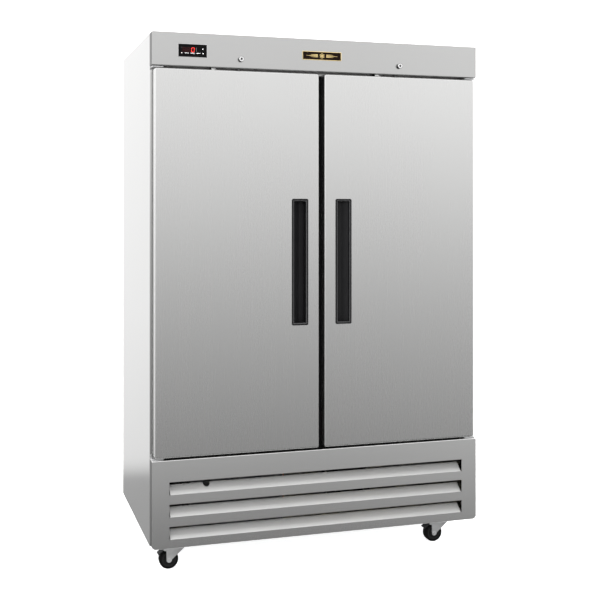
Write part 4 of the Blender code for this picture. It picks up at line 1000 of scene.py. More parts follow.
def door(name, side):
    """A folded skin, a foam core with a dished inner panel, a bellows gasket and a handle."""
    body = f"door_{name}"
    x = span(side, DOOR_INNER, DOOR_OUTER)
    tall = (DOOR_LOW, DOOR_HIGH)
    shell = loft(x, tall, DOOR_CORNER, bend_profile(SKIN_BACK), steps=8)
    skin = carved(shell, handle_cut(side, 0.005), *pin_holes(side))
    piece(f"door_skin_{name}", skin, ["brushed_stainless"], body, 12)
    striker(name, side, body)

    inset = SHEET + GAP
    slab = [(inset + BEND, inset), (inset, inset + BEND), (inset, SKIN_BACK + 0.0002)]
    slab += [(inset + 0.001, CORE_BACK)]
    dish = ((0.0, 0.0), (0.004, 0.0010), (0.010, 0.0045), (0.014, 0.0055))
    slab += [(CORE_FIELD + run, CORE_BACK - rise) for run, rise in dish]
    core = carved(loft(x, tall, 0.010, slab), handle_cut(side, HANDLE_BACK + GAP), *pin_holes(side))
    piece(f"door_core_{name}", core, ["white_liner"], body)

    start, end = CORE_BACK + GAP, FRAME_DEPTH
    bellows = [
        (0.0030, start), (0.0040, start + 0.0022), (0.0010, start + 0.0034), (0.0004, start + 0.0046),
        (0.0026, start + 0.0058), (0.0006, start + 0.0068), (0.0006, end - 0.0008), (0.0014, end - GAP),
        (0.0150, end - GAP), (0.0162, end - 0.0012), (0.0160, start + 0.0062), (0.0176, start + 0.0048),
        (0.0172, start + 0.0034), (0.0150, start + 0.0022), (0.0160, start),
    ]
    gasket = loft(span(side, *GASKET_X), GASKET_HEIGHT, 0.002, bellows, closed=True, steps=3)
    piece(f"door_gasket_{name}", gasket, ["gasket_vinyl"], body, 50)
    handle(name, side, body)


def handle_cut(side, end):
    """The cutter for the handle's opening, from before the door's face back to a depth."""
    half_x, half_z = (half - HANDLE_WALL + GAP for half in HANDLE_RIM_HALF)
    x, tall = about(side * HANDLE_X, half_x), about(HANDLE_HEIGHT, half_z)
    return loft(x, tall, HANDLE_WALL, [(0, -0.003), (0, end)])


def pin_holes(side):
    place = at(side * PIVOT[0], PIVOT[1], 0)
    ends = ((DOOR_HIGH - 0.0165, DOOR_HIGH + 0.01), (DOOR_LOW - 0.01, DOOR_LOW + 0.0165))
    return [rod(place, "Z", PIN_HOLE_RADIUS, end, 24) for end in ends]


def striker(name, side, body):
    """The bent tab on the door's top edge that holds the light switch in."""
    middle = switch_x(side)
    x = about(middle, STRIKER_HALF)
    upright = (STRIKER_DEPTH, STRIKER_DEPTH + 0.0018)
    form = Form().take(box(x, upright, (DOOR_HIGH - 0.001, 1.8625), 0.0006))
    form.take(box(x, (0.0085, STRIKER_DEPTH + 0.001), (DOOR_HIGH, DOOR_HIGH + 0.0014), 0.0005))
    for dx in (-0.0055, 0.0055):
        dome = [(0.0030, 0.0), (0.0030, 0.0006), (0.0018, 0.0013), (0.0006, 0.0015)]
        form.take(lathe(at(middle + dx, 0.015, DOOR_HIGH + 0.0013), "Z", dome, 16))
    piece(f"striker_{name}", form, ["bright_zinc"], body)


def handle(name, side, body):
    """A moulded cup: a rolled rim, straight walls and a floor that slopes up away from the free edge."""
    half_x, half_z = HANDLE_RIM_HALF
    x, tall = about(side * HANDLE_X, half_x), about(HANDLE_HEIGHT, half_z)
    mouth = HANDLE_POCKET_INSET
    rim = [
        (HANDLE_WALL, HANDLE_BACK), (HANDLE_WALL, -0.0004), (0.0, -0.0004), (0.0, -0.0008), (0.0006, -0.0015),
        (0.0016, -PROUD), (0.0052, -PROUD), (0.0066, -0.0015), (mouth - 0.0012, 0.0008), (mouth, 0.0030),
        (mouth, HANDLE_BACK - 0.002), (mouth, HANDLE_BACK),
    ]
    form = Form().take(loft(x, tall, HANDLE_CORNER, rim, closed=True))
    # The lighter grey bead along the rim is a painted highlight for the rim's bevel.
    bead = [(0.0062, -0.0014), (0.0066, -PROUD), (0.0086, -0.0008), (0.0090, 0.0002), (0.0080, 0.0004)]
    form.take(loft(x, tall, HANDLE_CORNER, bead, closed=True), 1)
    near, far = about(HANDLE_X, half_x - mouth + 0.001)
    middle = HANDLE_X - 0.002
    floor = [
        (near, HANDLE_BACK), (near, HANDLE_DEEP), (middle - 0.004, HANDLE_DEEP),
        (middle, HANDLE_DEEP - 0.0010), (middle + 0.004, HANDLE_DEEP - 0.0036),
        (far, HANDLE_SHALLOW), (far, HANDLE_BACK),
    ]
    floor_tall = about(HANDLE_HEIGHT, half_z - mouth + 0.002)
    form.take(prism([(side * px, depth) for px, depth in floor], "Z", *floor_tall))
    piece(f"door_handle_{name}", form, ["black_plastic", "painted_highlight_rim"], body, 40)


def hinge_bracket(name, side, level):
    """An angle screwed to the face frame, with the cartridge pin that a door turns on."""
    at_top = level == "top"
    low = DOOR_HIGH + 0.002 if at_top else GRILLE_HIGH + 0.0006
    high = low + 0.005
    near, far = BRACKET_X
    back = FRAME_DEPTH - GAP
    outline = [
        (near + 0.012, 0.008), (far - 0.004, 0.008), (far, 0.012), (far, back), (near, back), (near, 0.020),
        *arc((near + 0.012, 0.020), 0.012, 180, 270, 6)[1:-1],
    ]
    form = Form().take(prism([(side * px, depth) for px, depth in outline], "Z", low, high, 0.0007))
    tab = (low, low + BRACKET_TAB) if at_top else (high - BRACKET_TAB, high)
    form.take(box(span(side, near, far), (back - 0.003, back), tab, 0.0007))
    rise = 0.028 if at_top else -0.023
    for offset in (0.012, 0.0365):
        hex_screw(form, at(side * (near + offset), back - 0.003, low + rise), "-Y", radius=0.0036)
    middle = (low + high) / 2
    start, end = (DOOR_HIGH - 0.014, middle) if at_top else (middle, DOOR_LOW + 0.014)
    pin = [(0.0044, start), (0.0050, start + 0.0008), (0.0050, end - 0.0004), (0.0046, end)]
    form.take(lathe(at(side * PIVOT[0], PIVOT[1], 0), "Z", pin, 28))
    piece(f"hinge_bracket_{level}_{name}", form, ["zinc_plate"])


# ---------------------------------------------------------------- base


def grille():
    """A folded pan with three wide slots, each with its flap bent in and its top edge hemmed."""
    folded = bend_profile(FRAME_DEPTH - GAP, radius=PAN_BEND, steps=4)
    shell = loft(about(0, HALF_WIDTH), (0.0, GRILLE_HIGH), (0.003, 0.003, 0.016, 0.016), folded, steps=8)
    inner = about(0, HALF_WIDTH - SHEET)
    slots = about(0, SLOT_HALF)
    lows = [SLOT_LOW + index * SLOT_PITCH for index in range(SLOT_COUNT)]
    cutters = [box(inner, (0.046, 0.06), (GRILLE_HIGH - 0.0024, GRILLE_HIGH + 0.001))]
    cutters.append(box(inner, (0.020, 0.06), (-0.001, 0.0024)))
    cutters += [box(slots, (-0.003, 0.004), (low, low + SLOT_HEIGHT)) for low in lows]
    form = Form().take(carved(shell, *cutters))
    # The sideways returns get a much darker steel, painted shade.
    paint_shade_on_returns(form.mesh, 2)
    for low in lows:
        form.take(flap(low, notched=low == lows[-1]), 1)
        high = low + SLOT_HEIGHT
        hem = [(0.0004, high), (0.0062, high + 0.0006), (0.0062, high + 0.0018), (0.0004, high + 0.0012)]
        form.take(prism(hem, "X", *slots))
    # The base's lighter steel is painted light and the flaps' darker steel is painted shade.
    steels = ["painted_light_base_steel", "painted_shade_flap_steel", "painted_shade_return_steel"]
    piece("grille_panel", form, steels, angle=20)


def flap(low, notched):
    """The strip lanced out of a slot and bent in, with a rolled bend at its root."""
    reach = (math.sin(FLAP_ANGLE), math.cos(FLAP_ANGLE))
    depth, height = 0.0002, low - 0.0012
    bend = depth + 0.0010 * reach[0]
    end = (depth + SLOT_HEIGHT * reach[0], height + SLOT_HEIGHT * reach[1])
    outline = [
        (depth, height - 0.0030), (depth, height), (bend, height + 0.0022), end,
        (end[0] + SHEET * reach[1], end[1] - SHEET * reach[0]), (bend + SHEET, height + 0.0012),
        (depth + SHEET, height - 0.0030),
    ]
    part = prism(outline, "X", *about(0, SLOT_HALF - 0.004))
    if notched:
        part = carved(part, rod(at(NOTCH_X, 0, end[1]), "Y", NOTCH_RADIUS, (NOTCH_RADIUS, 0.060), 32))
    return part


# ---------------------------------------------------------------- inside


def wire_shelf(name, side, level):
    """A plastic-coated wire shelf: a heavy rim, cross wires and close thin wires on top."""
    x = span(side, *SHELF_X)
    low = SHELF_HEIGHTS[level]
    front, back = SHELF_DEPTH
    margin = SHELF_RIM + 0.0002
    inner = (x[0] + margin, x[1] - margin)
    corners = rounded(inner, (front + margin, back - margin), (0.012,) * 4, 4)
    rim = [at(px, depth, low + SHELF_RIM + 0.0001) for px, depth in corners]
    form = Form().take(tube(rim, SHELF_RIM, 10, closed=True))
    for share in (0.10, 0.37, 0.63, 0.90):
        depth = front + share * (back - front)
        form.take(tube([at(end, depth, low + 0.0021) for end in inner], 0.0020))
    for index in range(1, SHELF_WIRES):
        px = x[0] + (x[1] - x[0]) * index / SHELF_WIRES
        form.take(tube([at(px, end, low + 0.0046) for end in (front + 0.001, back - 0.001)], 0.0013, 6))
    piece(f"wire_shelf_{name}_{level + 1}", form, ["coated_wire"], angle=60)


def shelf_clips():
    """Bent clips that hook into the standards under each shelf."""
    form = Form()
    face = CAVITY_HALF - GAP - 0.005
    bends = (
        (0.0012, 0.0002, 0.020, 0.001), (0.0130, 0.0002, 0.0016, 0.0004), (0.0130, 0.0118, 0.006, 0.0004),
    )
    for level in SHELF_HEIGHTS:
        for side in SIDES.values():
            for depth in STANDARD_DEPTHS:
                for near, far, low, high in bends:
                    x = span(side, face - near, face - far)
                    form.take(box(x, about(depth, CLIP_HALF), (level - low, level - high), 0.0004, 1))
        for side in SIDES.values():
            rest = (SHELF_DEPTH[1] + 0.0005, CAVITY_BACK - 0.006)
            form.take(box(span(side, 0.0, 0.016), rest, (level - 0.0020, level - 0.0005), 0.0004, 1))
    piece("shelf_clips", form, ["zinc_plate"])


def evaporator():
    """The evaporator's slotted housing with its fan motor, wire guard, coil and fan."""
    front, back = EVAPORATOR_DEPTH
    low, high = EVAPORATOR_HEIGHT
    x, _, height = EVAPORATOR_FAN
    place = at(x, 0, height)
    outer = box(about(0, EVAPORATOR_HALF), EVAPORATOR_DEPTH, EVAPORATOR_HEIGHT, 0.003, 3)
    inner = about(0, EVAPORATOR_HALF - SHEET)
    hollow = box(inner, (front + SHEET, back - SHEET), (low + SHEET, high + 0.01))
    hole = rod(place, "Y", EVAPORATOR_FAN_RADIUS + 0.006, about(front, 0.01), 48)
    slots = []
    for index in range(-3, 4):
        for row in range(3):
            start = 0.56 + row * 0.034
            slots.append(box(about(index * 0.075, 0.025), (start, start + 0.016), (low - 0.004, low + 0.006)))
    form = Form().take(carved(outer, hollow, hole, gathered(slots)))
    motor = ((0.012, 0.036), (0.030, 0.040), (0.034, 0.046), (0.034, 0.090), (0.028, 0.095), (0.006, 0.095))
    form.take(lathe(place, "Y", [(radius, front + along) for radius, along in motor], 32), 1)
    form.take(box(about(0, 0.012), (front + 0.055, front + 0.080), (low + 0.001, height - 0.02), 0.001), 1)
    for dx in (-0.27, -0.12, 0.12, 0.27):
        for screw_height in (low + 0.012, high - 0.012):
            hex_screw(form, at(dx, front + 0.0001, screw_height), "-Y", 2, 0.0034)
    piece("evaporator_cover", form, ["white_liner", "black_paint", "zinc_plate"])

    guard = Form()
    for radius in (0.018, 0.033, 0.048, 0.063, 0.078):
        ring = [at(x + px, front - 0.006, height + pz) for px, pz in arc((0, 0), radius, 0, 360, 40)[:-1]]
        guard.take(tube(ring, 0.0011, 6, closed=True))
    for turn in range(4):
        angle = math.pi * turn / 4 + math.pi / 8
        line = []
        for reach, out in ((0.083, 0.0012), (0.080, 0.0050), (-0.080, 0.0050), (-0.083, 0.0012)):
            px, pz = polar(reach, angle)
            line.append(at(x + px, front - out, height + pz))
        guard.take(tube(line, 0.0013, 6))
    piece("evaporator_guard", guard, ["coated_wire"], angle=60)
    finned_coil("evaporator_coil", *EVAPORATOR_COIL, 72)
    rotor("evaporator_fan", EVAPORATOR_FAN, EVAPORATOR_FAN_RADIUS)


def finned_coil(node, x, depth, height, count):
    """Thin plates on rows of copper tube with return bends at both ends."""
    form = Form()
    start, end = x[0] + COIL_END_ROOM, x[1] - COIL_END_ROOM
    for index in range(count):
        middle = start + (end - start) * index / (count - 1)
        form.take(box(about(middle, 0.0003), (depth[0] + 0.0005, depth[1] - 0.0005), height))
    for middle in (start - 0.001, end + 0.001):
        form.take(box(about(middle, 0.0008), depth, height, 0.0003, 1))
    columns, rows = 2, 6
    bulge = COIL_END_ROOM - 0.0052
    for column in range(columns):
        tube_depth = depth[0] + (depth[1] - depth[0]) * (column + 0.5) / columns
        heights = [height[0] + (height[1] - height[0]) * (row + 0.5) / rows for row in range(rows)]
        for row, low in enumerate(heights):
            ends = [at(px, tube_depth, low) for px in (start - 0.003, end + 0.003)]
            form.take(tube(ends, COIL_TUBE, 10), 1)
            if row + 1 < rows:
                half = (heights[row + 1] - low) / 2
                sign, base = (1, end + 0.001) if row % 2 else (-1, start - 0.001)
                bend = []
                for step in range(9):
                    angle = math.pi * step / 8
                    px = base + sign * bulge * math.sin(angle)
                    bend.append(at(px, tube_depth, low + half - half * math.cos(angle)))
                form.take(tube(bend, COIL_TUBE), 1)
    piece(node, form, ["aluminium_fins", "copper"])


def rotor(node, place, radius, blades=5):
    """A moulded fan with a domed hub and swept, cambered blades."""
    centre = at(*place)
    hub = radius * 0.28
    profile = ((0.3, -0.0110), (0.80, -0.0104), (0.96, -0.0085), (1.0, -0.006), (1.0, 0.0108), (0.7, 0.0110))
    form = Form().take(lathe(centre, "Y", [(hub * share, along) for share, along in profile], 36))
    root = hub * 0.85
    for index in range(blades):
        turn = 2 * math.pi * index / blades
        part = bmesh.new()
        grids = []
        for face in (-0.0006, 0.0006):
            rows = []
            for out in range(FAN_STEPS + 1):
                share = out / FAN_STEPS
                reach = root + (radius - 0.0008 - root) * share
                half_angle = (0.016 + 0.018 * math.sqrt(share)) / max(reach, 0.02) * 0.92
                row = []
                for on in range(FAN_STEPS + 1):
                    along = 2 * on / FAN_STEPS - 1
                    angle = turn + along * half_angle * math.cos(FAN_PITCH)
                    chord = along * half_angle * reach
                    lift = chord * math.sin(FAN_PITCH) * 0.5 + 0.0022 * (1 - along * along) + face
                    lift = max(min(lift, FAN_HALF_DEPTH), -FAN_HALF_DEPTH)
                    px, pz = polar(reach, angle)
                    row.append(part.verts.new(centre + Vector((px, lift, pz))))
                rows.append(row)
            grids.append(rows)
        for rows in grids:
            for first, second in zip(rows, rows[1:]):
                for on in range(FAN_STEPS):
                    part.faces.new((first[on], first[on + 1], second[on + 1], second[on]))
        steps = range(FAN_STEPS)
        back_steps = range(FAN_STEPS, 0, -1)
        rim = [(0, on) for on in steps] + [(out, FAN_STEPS) for out in steps]
        rim += [(FAN_STEPS, on) for on in back_steps] + [(out, 0) for out in back_steps]
        near, far = grids
        for (out, on), (next_out, next_on) in zip(rim, rim[1:] + rim[:1]):
            part.faces.new((near[out][on], near[next_out][next_on], far[next_out][next_on], far[out][on]))
        form.take(settle(part))
    piece(node, form, ["black_plastic"], node, 50)


def lamps():
    """A flat lamp on the ceiling of each bay, beside the evaporator's housing."""
    form = Form()
    for side in SIDES.values():
        x = span(side, *LAMP_X)
        form.take(box(x, (0.150, 0.180), (CAVITY_HIGH - 0.0140, CAVITY_HIGH - 0.0016), 0.0025, 3), 1)
        lens = (CAVITY_HIGH - 0.0200, CAVITY_HIGH - 0.0120)
        form.take(box((x[0] + 0.006, x[1] - 0.006), (0.154, 0.176), lens, 0.003, 3))
    piece("lamps", form, ["lamp_lens", "white_liner"])


# ---------------------------------------------------------------- machine compartment


def compressor():
    """A welded can on a plate with rubber feet, and its terminal box."""
    x, depth = COMPRESSOR
    low = UNDERSIDE
    can = [
        (0.050, 0.0165), (0.066, 0.0180), (0.076, 0.0260), (0.0825, 0.040), (0.0835, 0.086), (0.0850, 0.087),
        (0.0850, 0.092), (0.0835, 0.093), (0.0830, 0.138), (0.078, 0.158), (0.066, 0.174), (0.048, 0.184),
        (0.020, 0.1888),
    ]
    form = Form().take(lathe(at(x, depth, low), "Z", can, 48))
    form.take(box(about(x, 0.105), about(depth, 0.070), (low + 0.012, low + 0.015), 0.001))
    foot = [(0.009, 0.0002), (0.011, 0.003), (0.0085, 0.006), (0.011, 0.009), (0.009, 0.0122)]
    for foot_x in about(x, 0.088):
        for foot_depth in about(depth, 0.055):
            form.take(lathe(at(foot_x, foot_depth, low), "Z", foot, 20), 1)
            hex_screw(form, at(foot_x, foot_depth, low + 0.0146), "+Z", 2)
    form.take(box((x - 0.115, x - 0.074), about(depth, 0.030), (0.070, 0.130), 0.004, 3), 3)
    names = ["black_paint", "black_rubber", "zinc_plate", "black_plastic"]
    piece("compressor", form, names)


def pipework():
    """Refrigerant lines between the compressor and the condenser, and the compressor's lead."""
    form = Form()
    discharge = (
        (-0.060, -0.030, 0.165), (-0.060, -0.030, 0.215), (-0.075, -0.045, 0.235), (-0.110, -0.080, 0.245),
        (-0.25, -0.22, 0.250), (-0.37, -0.35, 0.255), (-0.405, -0.385, 0.257),
    )
    suction = (
        (0.055, 0.030, 0.165), (0.055, 0.030, 0.230), (0.050, 0.060, 0.262), (0.030, 0.120, 0.280),
        (0.010, 0.160, 0.300), (0.010, 0.165, 0.338),
    )
    lead = (
        (-0.110, 0.005, 0.085), (-0.135, 0.012, 0.060), (-0.150, 0.060, 0.022), (-0.05, 0.19, 0.012),
        (0.12, 0.24, 0.020),
    )
    inlet = [at(CONDENSER_X[1] + 0.0015, 0.115, 0.258)]
    gland = [at(0.505, 0.790, 0.065), at(CORD_GLAND[0], 0.815, 0.090), at(CORD_GLAND[0], 0.822, 0.090)]
    lines = ((discharge, inlet, 0.0032, 0), (suction, [], 0.0048, 0), (lead, gland, 0.0030, 1))
    for line, ends, radius, material in lines:
        points = [at(COMPRESSOR[0] + dx, COMPRESSOR[1] + dd, height) for dx, dd, height in line] + ends
        form.take(tube(smooth(points), radius, 10), material)
    piece("pipework", form, ["copper", "wire_black"], angle=60)


def smooth(points, steps=6):
    """A smooth line through the points."""
    line = []
    for index in range(len(points) - 1):
        before = points[max(index - 1, 0)]
        first, second = points[index], points[index + 1]
        after = points[min(index + 2, len(points) - 1)]
        for step in range(steps):
            t = step / steps
            square = (2 * before - 5 * first + 4 * second - after) * t * t
            cube = (3 * first - before - 3 * second + after) * t ** 3
            line.append(0.5 * (2 * first + (second - before) * t + square + cube))
    line.append(points[-1])
    return line


def condenser():
    """The condenser coil, its shroud with the fan motor on a strut, and the fan."""
    finned_coil("condenser_coil", CONDENSER_X, CONDENSER_DEPTH, CONDENSER_HEIGHT, 90)
    x, _, height = CONDENSER_FAN
    place = at(x, 0, height)
    (left, right), (low, high) = CONDENSER_X, CONDENSER_HEIGHT
    front = CONDENSER_DEPTH[1] + GAP
    shell = box(CONDENSER_X, (front, SHROUD_BACK), CONDENSER_HEIGHT, 0.002)
    inner = (left + SHEET, right - SHEET)
    hollow = box(inner, (front - 0.01, SHROUD_BACK - SHEET), (low + SHEET, high - SHEET))
    ring = CONDENSER_FAN_RADIUS + 0.007
    form = Form().take(carved(shell, hollow, rod(place, "Y", ring, about(SHROUD_BACK, 0.01), 56)))
    inside, outside = SHROUD_BACK - SHEET, SHROUD_BACK + 0.0005
    collar = [(ring, inside), (ring, outside), (ring + 0.003, outside), (ring + 0.003, inside)]
    form.take(lathe(place, "Y", collar, 56, closed=True))
    motor = [(0.010, 0.148), (0.030, 0.150), (0.036, 0.156), (0.036, 0.194), (0.030, 0.200), (0.008, 0.202)]
    form.take(lathe(place, "Y", motor, 36), 1)
    form.take(box((left + 0.001, right - 0.001), (0.160, 0.166), about(height, 0.010), 0.001))
    piece("condenser_shroud", form, ["galvanised_steel", "black_paint"])
    rotor("condenser_fan", CONDENSER_FAN, CONDENSER_FAN_RADIUS)


def condensate_pan():
    low = UNDERSIDE
    outer = box((-0.500, -0.100), (0.600, 0.800), (low, low + 0.050), 0.004, 3)
    inner = box((-0.498, -0.102), (0.602, 0.798), (low + 0.002, low + 0.080), 0.004, 3)
    piece("condensate_pan", carved(outer, inner), ["black_plastic"])


# ---------------------------------------------------------------- casters, with heights from the ground


def caster(end, name, side):
    """A bolting plate with its raceway and king pin, and the fork, wheel and pedal that it carries."""
    x, y = side * CASTER_X, FRONT_Y + CASTER_DEPTHS[end]
    where = f"{end}_{name}"
    high = CASTER_HEIGHT - GAP
    low = high - 0.003
    ground = (x, y, 0.0)
    plate = rounded(about(0, 0.047), about(0, 0.036), (0.008,) * 4, 4)
    form = Form().take(prism(plate, "Z", low, high, 0.0005, origin=ground))
    race = [
        (0.0200, 0.0930), (0.0262, 0.0932), (0.0270, 0.0940), (0.0270, 0.0962), (0.0250, 0.0986),
        (0.0200, 0.0990),
    ]
    form.take(lathe(ground, "Z", race, 40))
    form.take(rod(ground, "Z", 0.0050, (0.0870, 0.0950), 24))
    nut = [(0.0070, 0.0852), (0.0085, 0.0860), (0.0085, 0.0882), (0.0080, 0.0884)]
    form.take(lathe(ground, "Z", nut, 28))
    for screw_x in about(x, 0.036):
        for screw_y in about(y, 0.025):
            hex_screw(form, Vector((screw_x, screw_y, low)), "-Z")
    piece(f"caster_plate_{where}", form, ["zinc_plate"])
    fork(where, ground, end == "front")
    wheel(where, Vector((x - CASTER_TRAIL, y, WHEEL_RADIUS)))
    if end == "front":
        pedal(name, ground)


def fork(where, ground, braked):
    """The swivelling fork: a dished crown, two pressed cheeks and the axle bolt with its nut."""
    axle = Vector((ground[0] - CASTER_TRAIL, ground[1], WHEEL_RADIUS))
    crown = [
        (0.0056, 0.0893), (0.0180, 0.0892), (0.0262, 0.0894), (0.0265, 0.0900), (0.0265, 0.0918),
        (0.0255, 0.0924), (0.0056, 0.0925),
    ]
    form = Form().take(lathe(ground, "Z", crown, 40, closed=True))
    outline = arc((-CASTER_TRAIL, WHEEL_RADIUS), 0.0105, 170, 370, 14)
    outline += [(0.0155, 0.0795), (0.019, 0.0845), (0.0195, 0.0915), (-0.026, 0.0915)]
    if braked:
        pivot = (PEDAL_PIVOT[0] - CASTER_TRAIL, PEDAL_PIVOT[1] + WHEEL_RADIUS)
        outline += [(-0.030, pivot[1] + 0.0050), *arc(pivot, 0.0050, 90, 260, 8)]
        outline += [(-CASTER_TRAIL - 0.0105, pivot[1] - 0.0050)]
    else:
        outline += [(0.002 - CASTER_TRAIL, 0.0760)]
    head = ((0.0090, 0.0), (0.0090, 0.0008))
    nut = ((0.0068, 0.0006), (0.0068, 0.0044), (0.0056, 0.0052))
    thread_end = ((0.0040, 0.0), (0.0040, 0.0042), (0.0030, 0.0057))
    for along in (-1, 1):
        form.take(prism(outline, "Y", *span(along, *FORK_FACES), 0.0005, origin=ground))
        for profile, sides in ((head, 24), (nut, 6), (thread_end, 20)):
            form.take(lathe(axle, "Y", [(radius, along * (0.0228 + out)) for radius, out in profile], sides))
    form.take(rod(axle, "Y", 0.0040, (-0.022, 0.022), 20))
    piece(f"caster_fork_{where}", form, ["zinc_plate"], f"caster_{where}")


def wheel(where, axle):
    """A rubber tyre on a moulded core with a recessed web, and a bearing sleeve."""
    tyre = [
        (WHEEL_RADIUS - 0.0095, 0.0152), (WHEEL_RADIUS - 0.0060, 0.0160), (WHEEL_RADIUS - 0.0030, 0.0158),
        (WHEEL_RADIUS - 0.0012, 0.0144), (WHEEL_RADIUS - 0.0003, 0.0120), (WHEEL_RADIUS, 0.0065),
    ]
    core = [
        (0.0064, 0.0190), (0.0105, 0.0190), (0.0115, 0.0180), (0.0125, 0.0115), (0.0220, 0.0110),
        (0.0240, 0.0140), (0.0260, 0.0152), (WHEEL_RADIUS - 0.0090, 0.0152),
    ]
    sleeve = [(0.0044, 0.0195), (0.0066, 0.0195)]
    form = Form()
    for material, (half, sides) in enumerate(((tyre, 64), (core, 48), (sleeve, 28))):
        profile = [(radius, -out) for radius, out in half] + half[::-1]
        form.take(lathe(axle, "Y", profile, sides, closed=True), material)
    names = ["black_rubber", "wheel_core", "zinc_plate"]
    piece(f"caster_wheel_{where}", form, names, f"wheel_{where}")


def pedal(name, ground):
    """A ribbed brake pedal on its pin between the fork's ears."""
    pivot = Vector((PEDAL_PIVOT[0] - CASTER_TRAIL, PEDAL_PIVOT[1] + WHEEL_RADIUS))
    tip = Vector((PEDAL_TIP[0] - CASTER_TRAIL, PEDAL_TIP[1] + WHEEL_RADIUS))
    along = (tip - pivot).normalized()
    across = Vector((-along.y, along.x))
    length = (tip - pivot).length
    half = 0.0013
    spine = [pivot + along * length * step / 8 for step in range(9)]
    outline = [point - across * half for point in spine]
    outline += [point + across * half for point in reversed(spine)]
    form = Form().take(prism(outline, "Y", *about(0, 0.0190), 0.0004, origin=ground))
    for index in range(4):
        middle = pivot + along * length * (0.52 + 0.12 * index) - across * (half - 0.0002)
        rib_points = ((-0.0009, 0), (-0.0005, 0.0004), (0.0005, 0.0004), (0.0009, 0))
        rib = [middle + along * run - across * rise for run, rise in rib_points]
        form.take(prism(rib, "Y", *about(0, 0.0165), origin=ground))
    place = Vector((ground[0] + pivot.x, ground[1], pivot.y))
    form.take(rod(place, "Y", 0.0026, (-0.0192, 0.0192), 20))
    pin = [(0.0016, -0.0240), (0.0020, -0.0236), (0.0020, 0.0236), (0.0016, 0.0240)]
    form.take(lathe(place, "Y", pin, 20), 1)
    piece(f"brake_pedal_{name}", form, ["black_paint", "zinc_plate"], f"pedal_{name}")


# ---------------------------------------------------------------- assembly

for side_name, side_sign in SIDES.items():
    side_panel(f"side_panel_{side_name}", side_sign)
    lock(side_name, side_sign)
    door_switch(side_name, side_sign)
    door(side_name, side_sign)
    for hinge_level in ("top", "bottom"):
        hinge_bracket(side_name, side_sign, hinge_level)
    for shelf_level in range(len(SHELF_HEIGHTS)):
        wire_shelf(side_name, side_sign, shelf_level)
    for caster_end in CASTER_DEPTHS:
        caster(caster_end, side_name, side_sign)
for build in (
    top_panel, back_panel, cabinet_screws, inner_liner, mullion, breaker_strips, machine_rear_panel,
    header_panel, controller, name_badge, grille, shelf_clips, evaporator, lamps, compressor, pipework,
    condenser, condensate_pan,
):
    build()

CARRIED_OVER = {
    "foam_insulation": "foam", "face_frame": "frame_stainless", "base_chassis": "galvanised_steel",
}
for carried, carried_finish in CARRIED_OVER.items():
    node_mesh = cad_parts[carried].data
    node_mesh.materials.clear()
    node_mesh.materials.append(FINISH[carried_finish])


# ---------------------------------------------------------------- studio


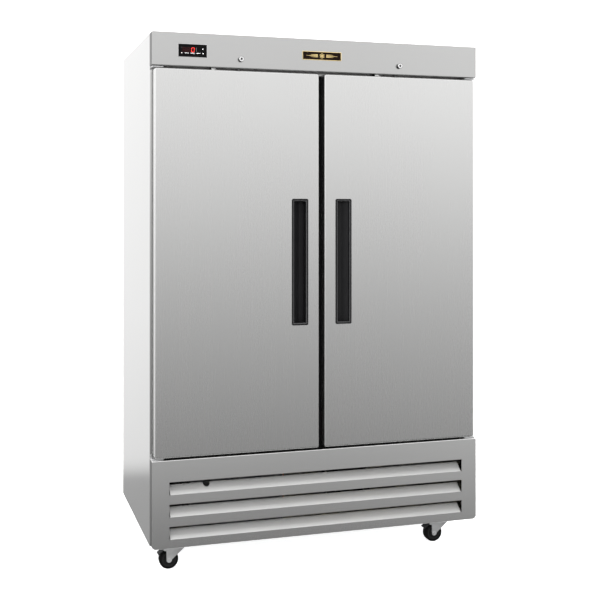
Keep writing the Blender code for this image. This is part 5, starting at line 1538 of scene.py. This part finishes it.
def studio_floor():
    """A pale floor that sweeps up into a backdrop far behind."""
    part = bmesh.new()
    section = [(-9.0, 0.0), (7.0, 0.0), *arc((7.0, 2.5), 2.5, -80, 0, 8), (9.5, 9.0)]
    rows = [[part.verts.new((x, y, z)) for x in (-12.0, 12.0)] for y, z in section]
    for first, second in zip(rows, rows[1:]):
        part.faces.new((first[0], first[1], second[1], second[0]))
    floor = object_of(part, "studio_floor")
    made = Finish("studio_floor")
    tone = made.ramp(made.noise(1.4), [(0.3, (0.93, 0.93, 0.93)), (0.7, (0.95, 0.95, 0.95))])
    made.varied("Base Color", tone)
    made.varied("Emission Color", tone)
    made.varied("Roughness", made.ranged(made.noise(3.0), 0.3, 0.7, 0.85, 0.95))
    made.fixed("Emission Strength", FLOOR_GLOW)
    floor.data.materials.append(made.material)
    floor.data.shade_smooth()
    floor.visible_glossy = False
    floor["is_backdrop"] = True


def studio_world():
    """Soft light all round: brighter above and to the left, falling off towards the ground."""
    world = bpy.data.worlds.new("studio")
    bpy.context.scene.world = world
    world.use_nodes = True
    world.node_tree.nodes.clear()
    sky = Tree(world.node_tree)
    direction = sky.new("SeparateXYZ")
    sky.link(sky.new("TexCoord").outputs["Generated"], direction.inputs["Vector"])

    def graded(axis, reach, stops):
        share = sky.ranged(direction.outputs[axis], -reach, reach, 0.0, 1.0)
        return sky.ramp(share, [((place + reach) / (2 * reach), (value,) * 3) for place, value in stops])

    front, behind = graded("Z", 1.0, FRONT_LIGHT), graded("Z", 1.0, BEHIND_LIGHT)
    light = sky.mixed(graded("Y", 0.6, FRONT_TO_BEHIND), front, behind)
    light = sky.mixed(1.0, light, graded("X", 1.0, LEFT_LIGHT), "MULTIPLY")
    background = sky.new("Background")
    sky.link(light, background.inputs["Color"])
    background.inputs["Strength"].default_value = WORLD_STRENGTH
    seen = sky.new("Background")
    seen.inputs["Color"].default_value = (1.0, 1.0, 1.0, 1.0)
    chosen = sky.new("MixShader")
    sky.link(sky.new("LightPath").outputs["Is Camera Ray"], chosen.inputs["Fac"])
    sky.link(background.outputs["Background"], chosen.inputs[1])
    sky.link(seen.outputs["Background"], chosen.inputs[2])
    sky.link(chosen.outputs["Shader"], sky.new("OutputWorld").inputs["Surface"])


def soft_light(name, place, aim, size, power):
    """A large square lamp that metal doesn't mirror."""
    data = bpy.data.lights.new(name, "AREA")
    data.shape = "RECTANGLE"
    data.size = data.size_y = size
    data.energy = power
    light = bpy.data.objects.new(name, data)
    bpy.context.scene.collection.objects.link(light)
    light.location = place
    light.rotation_euler = (Vector(aim) - Vector(place)).to_track_quat("-Z", "Y").to_euler()
    light.visible_glossy = False


def studio_camera():
    data = bpy.data.cameras.new("camera")
    data.lens = CAMERA_LENS
    data.sensor_width = 36.0
    data.shift_y = CAMERA_SHIFT
    camera = bpy.data.objects.new("camera", data)
    bpy.context.scene.collection.objects.link(camera)
    camera.location = CAMERA_PLACE
    camera.rotation_euler = (math.radians(90), 0.0, CAMERA_TURN)
    bpy.context.scene.camera = camera


studio_floor()
studio_world()
soft_light("top_light", (0.0, -0.6, 5.0), (0.0, 0.0, 0.0), 4.0, 300.0)
soft_light("fill_light", (-1.5, -5.0, 3.2), (0.0, 0.0, 0.4), 2.5, 160.0)
studio_camera()
bpy.context.scene.view_settings.view_transform = "Standard"

[[list(map(float, corner)) for corner in box_] for box_ in (cad_box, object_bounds())]
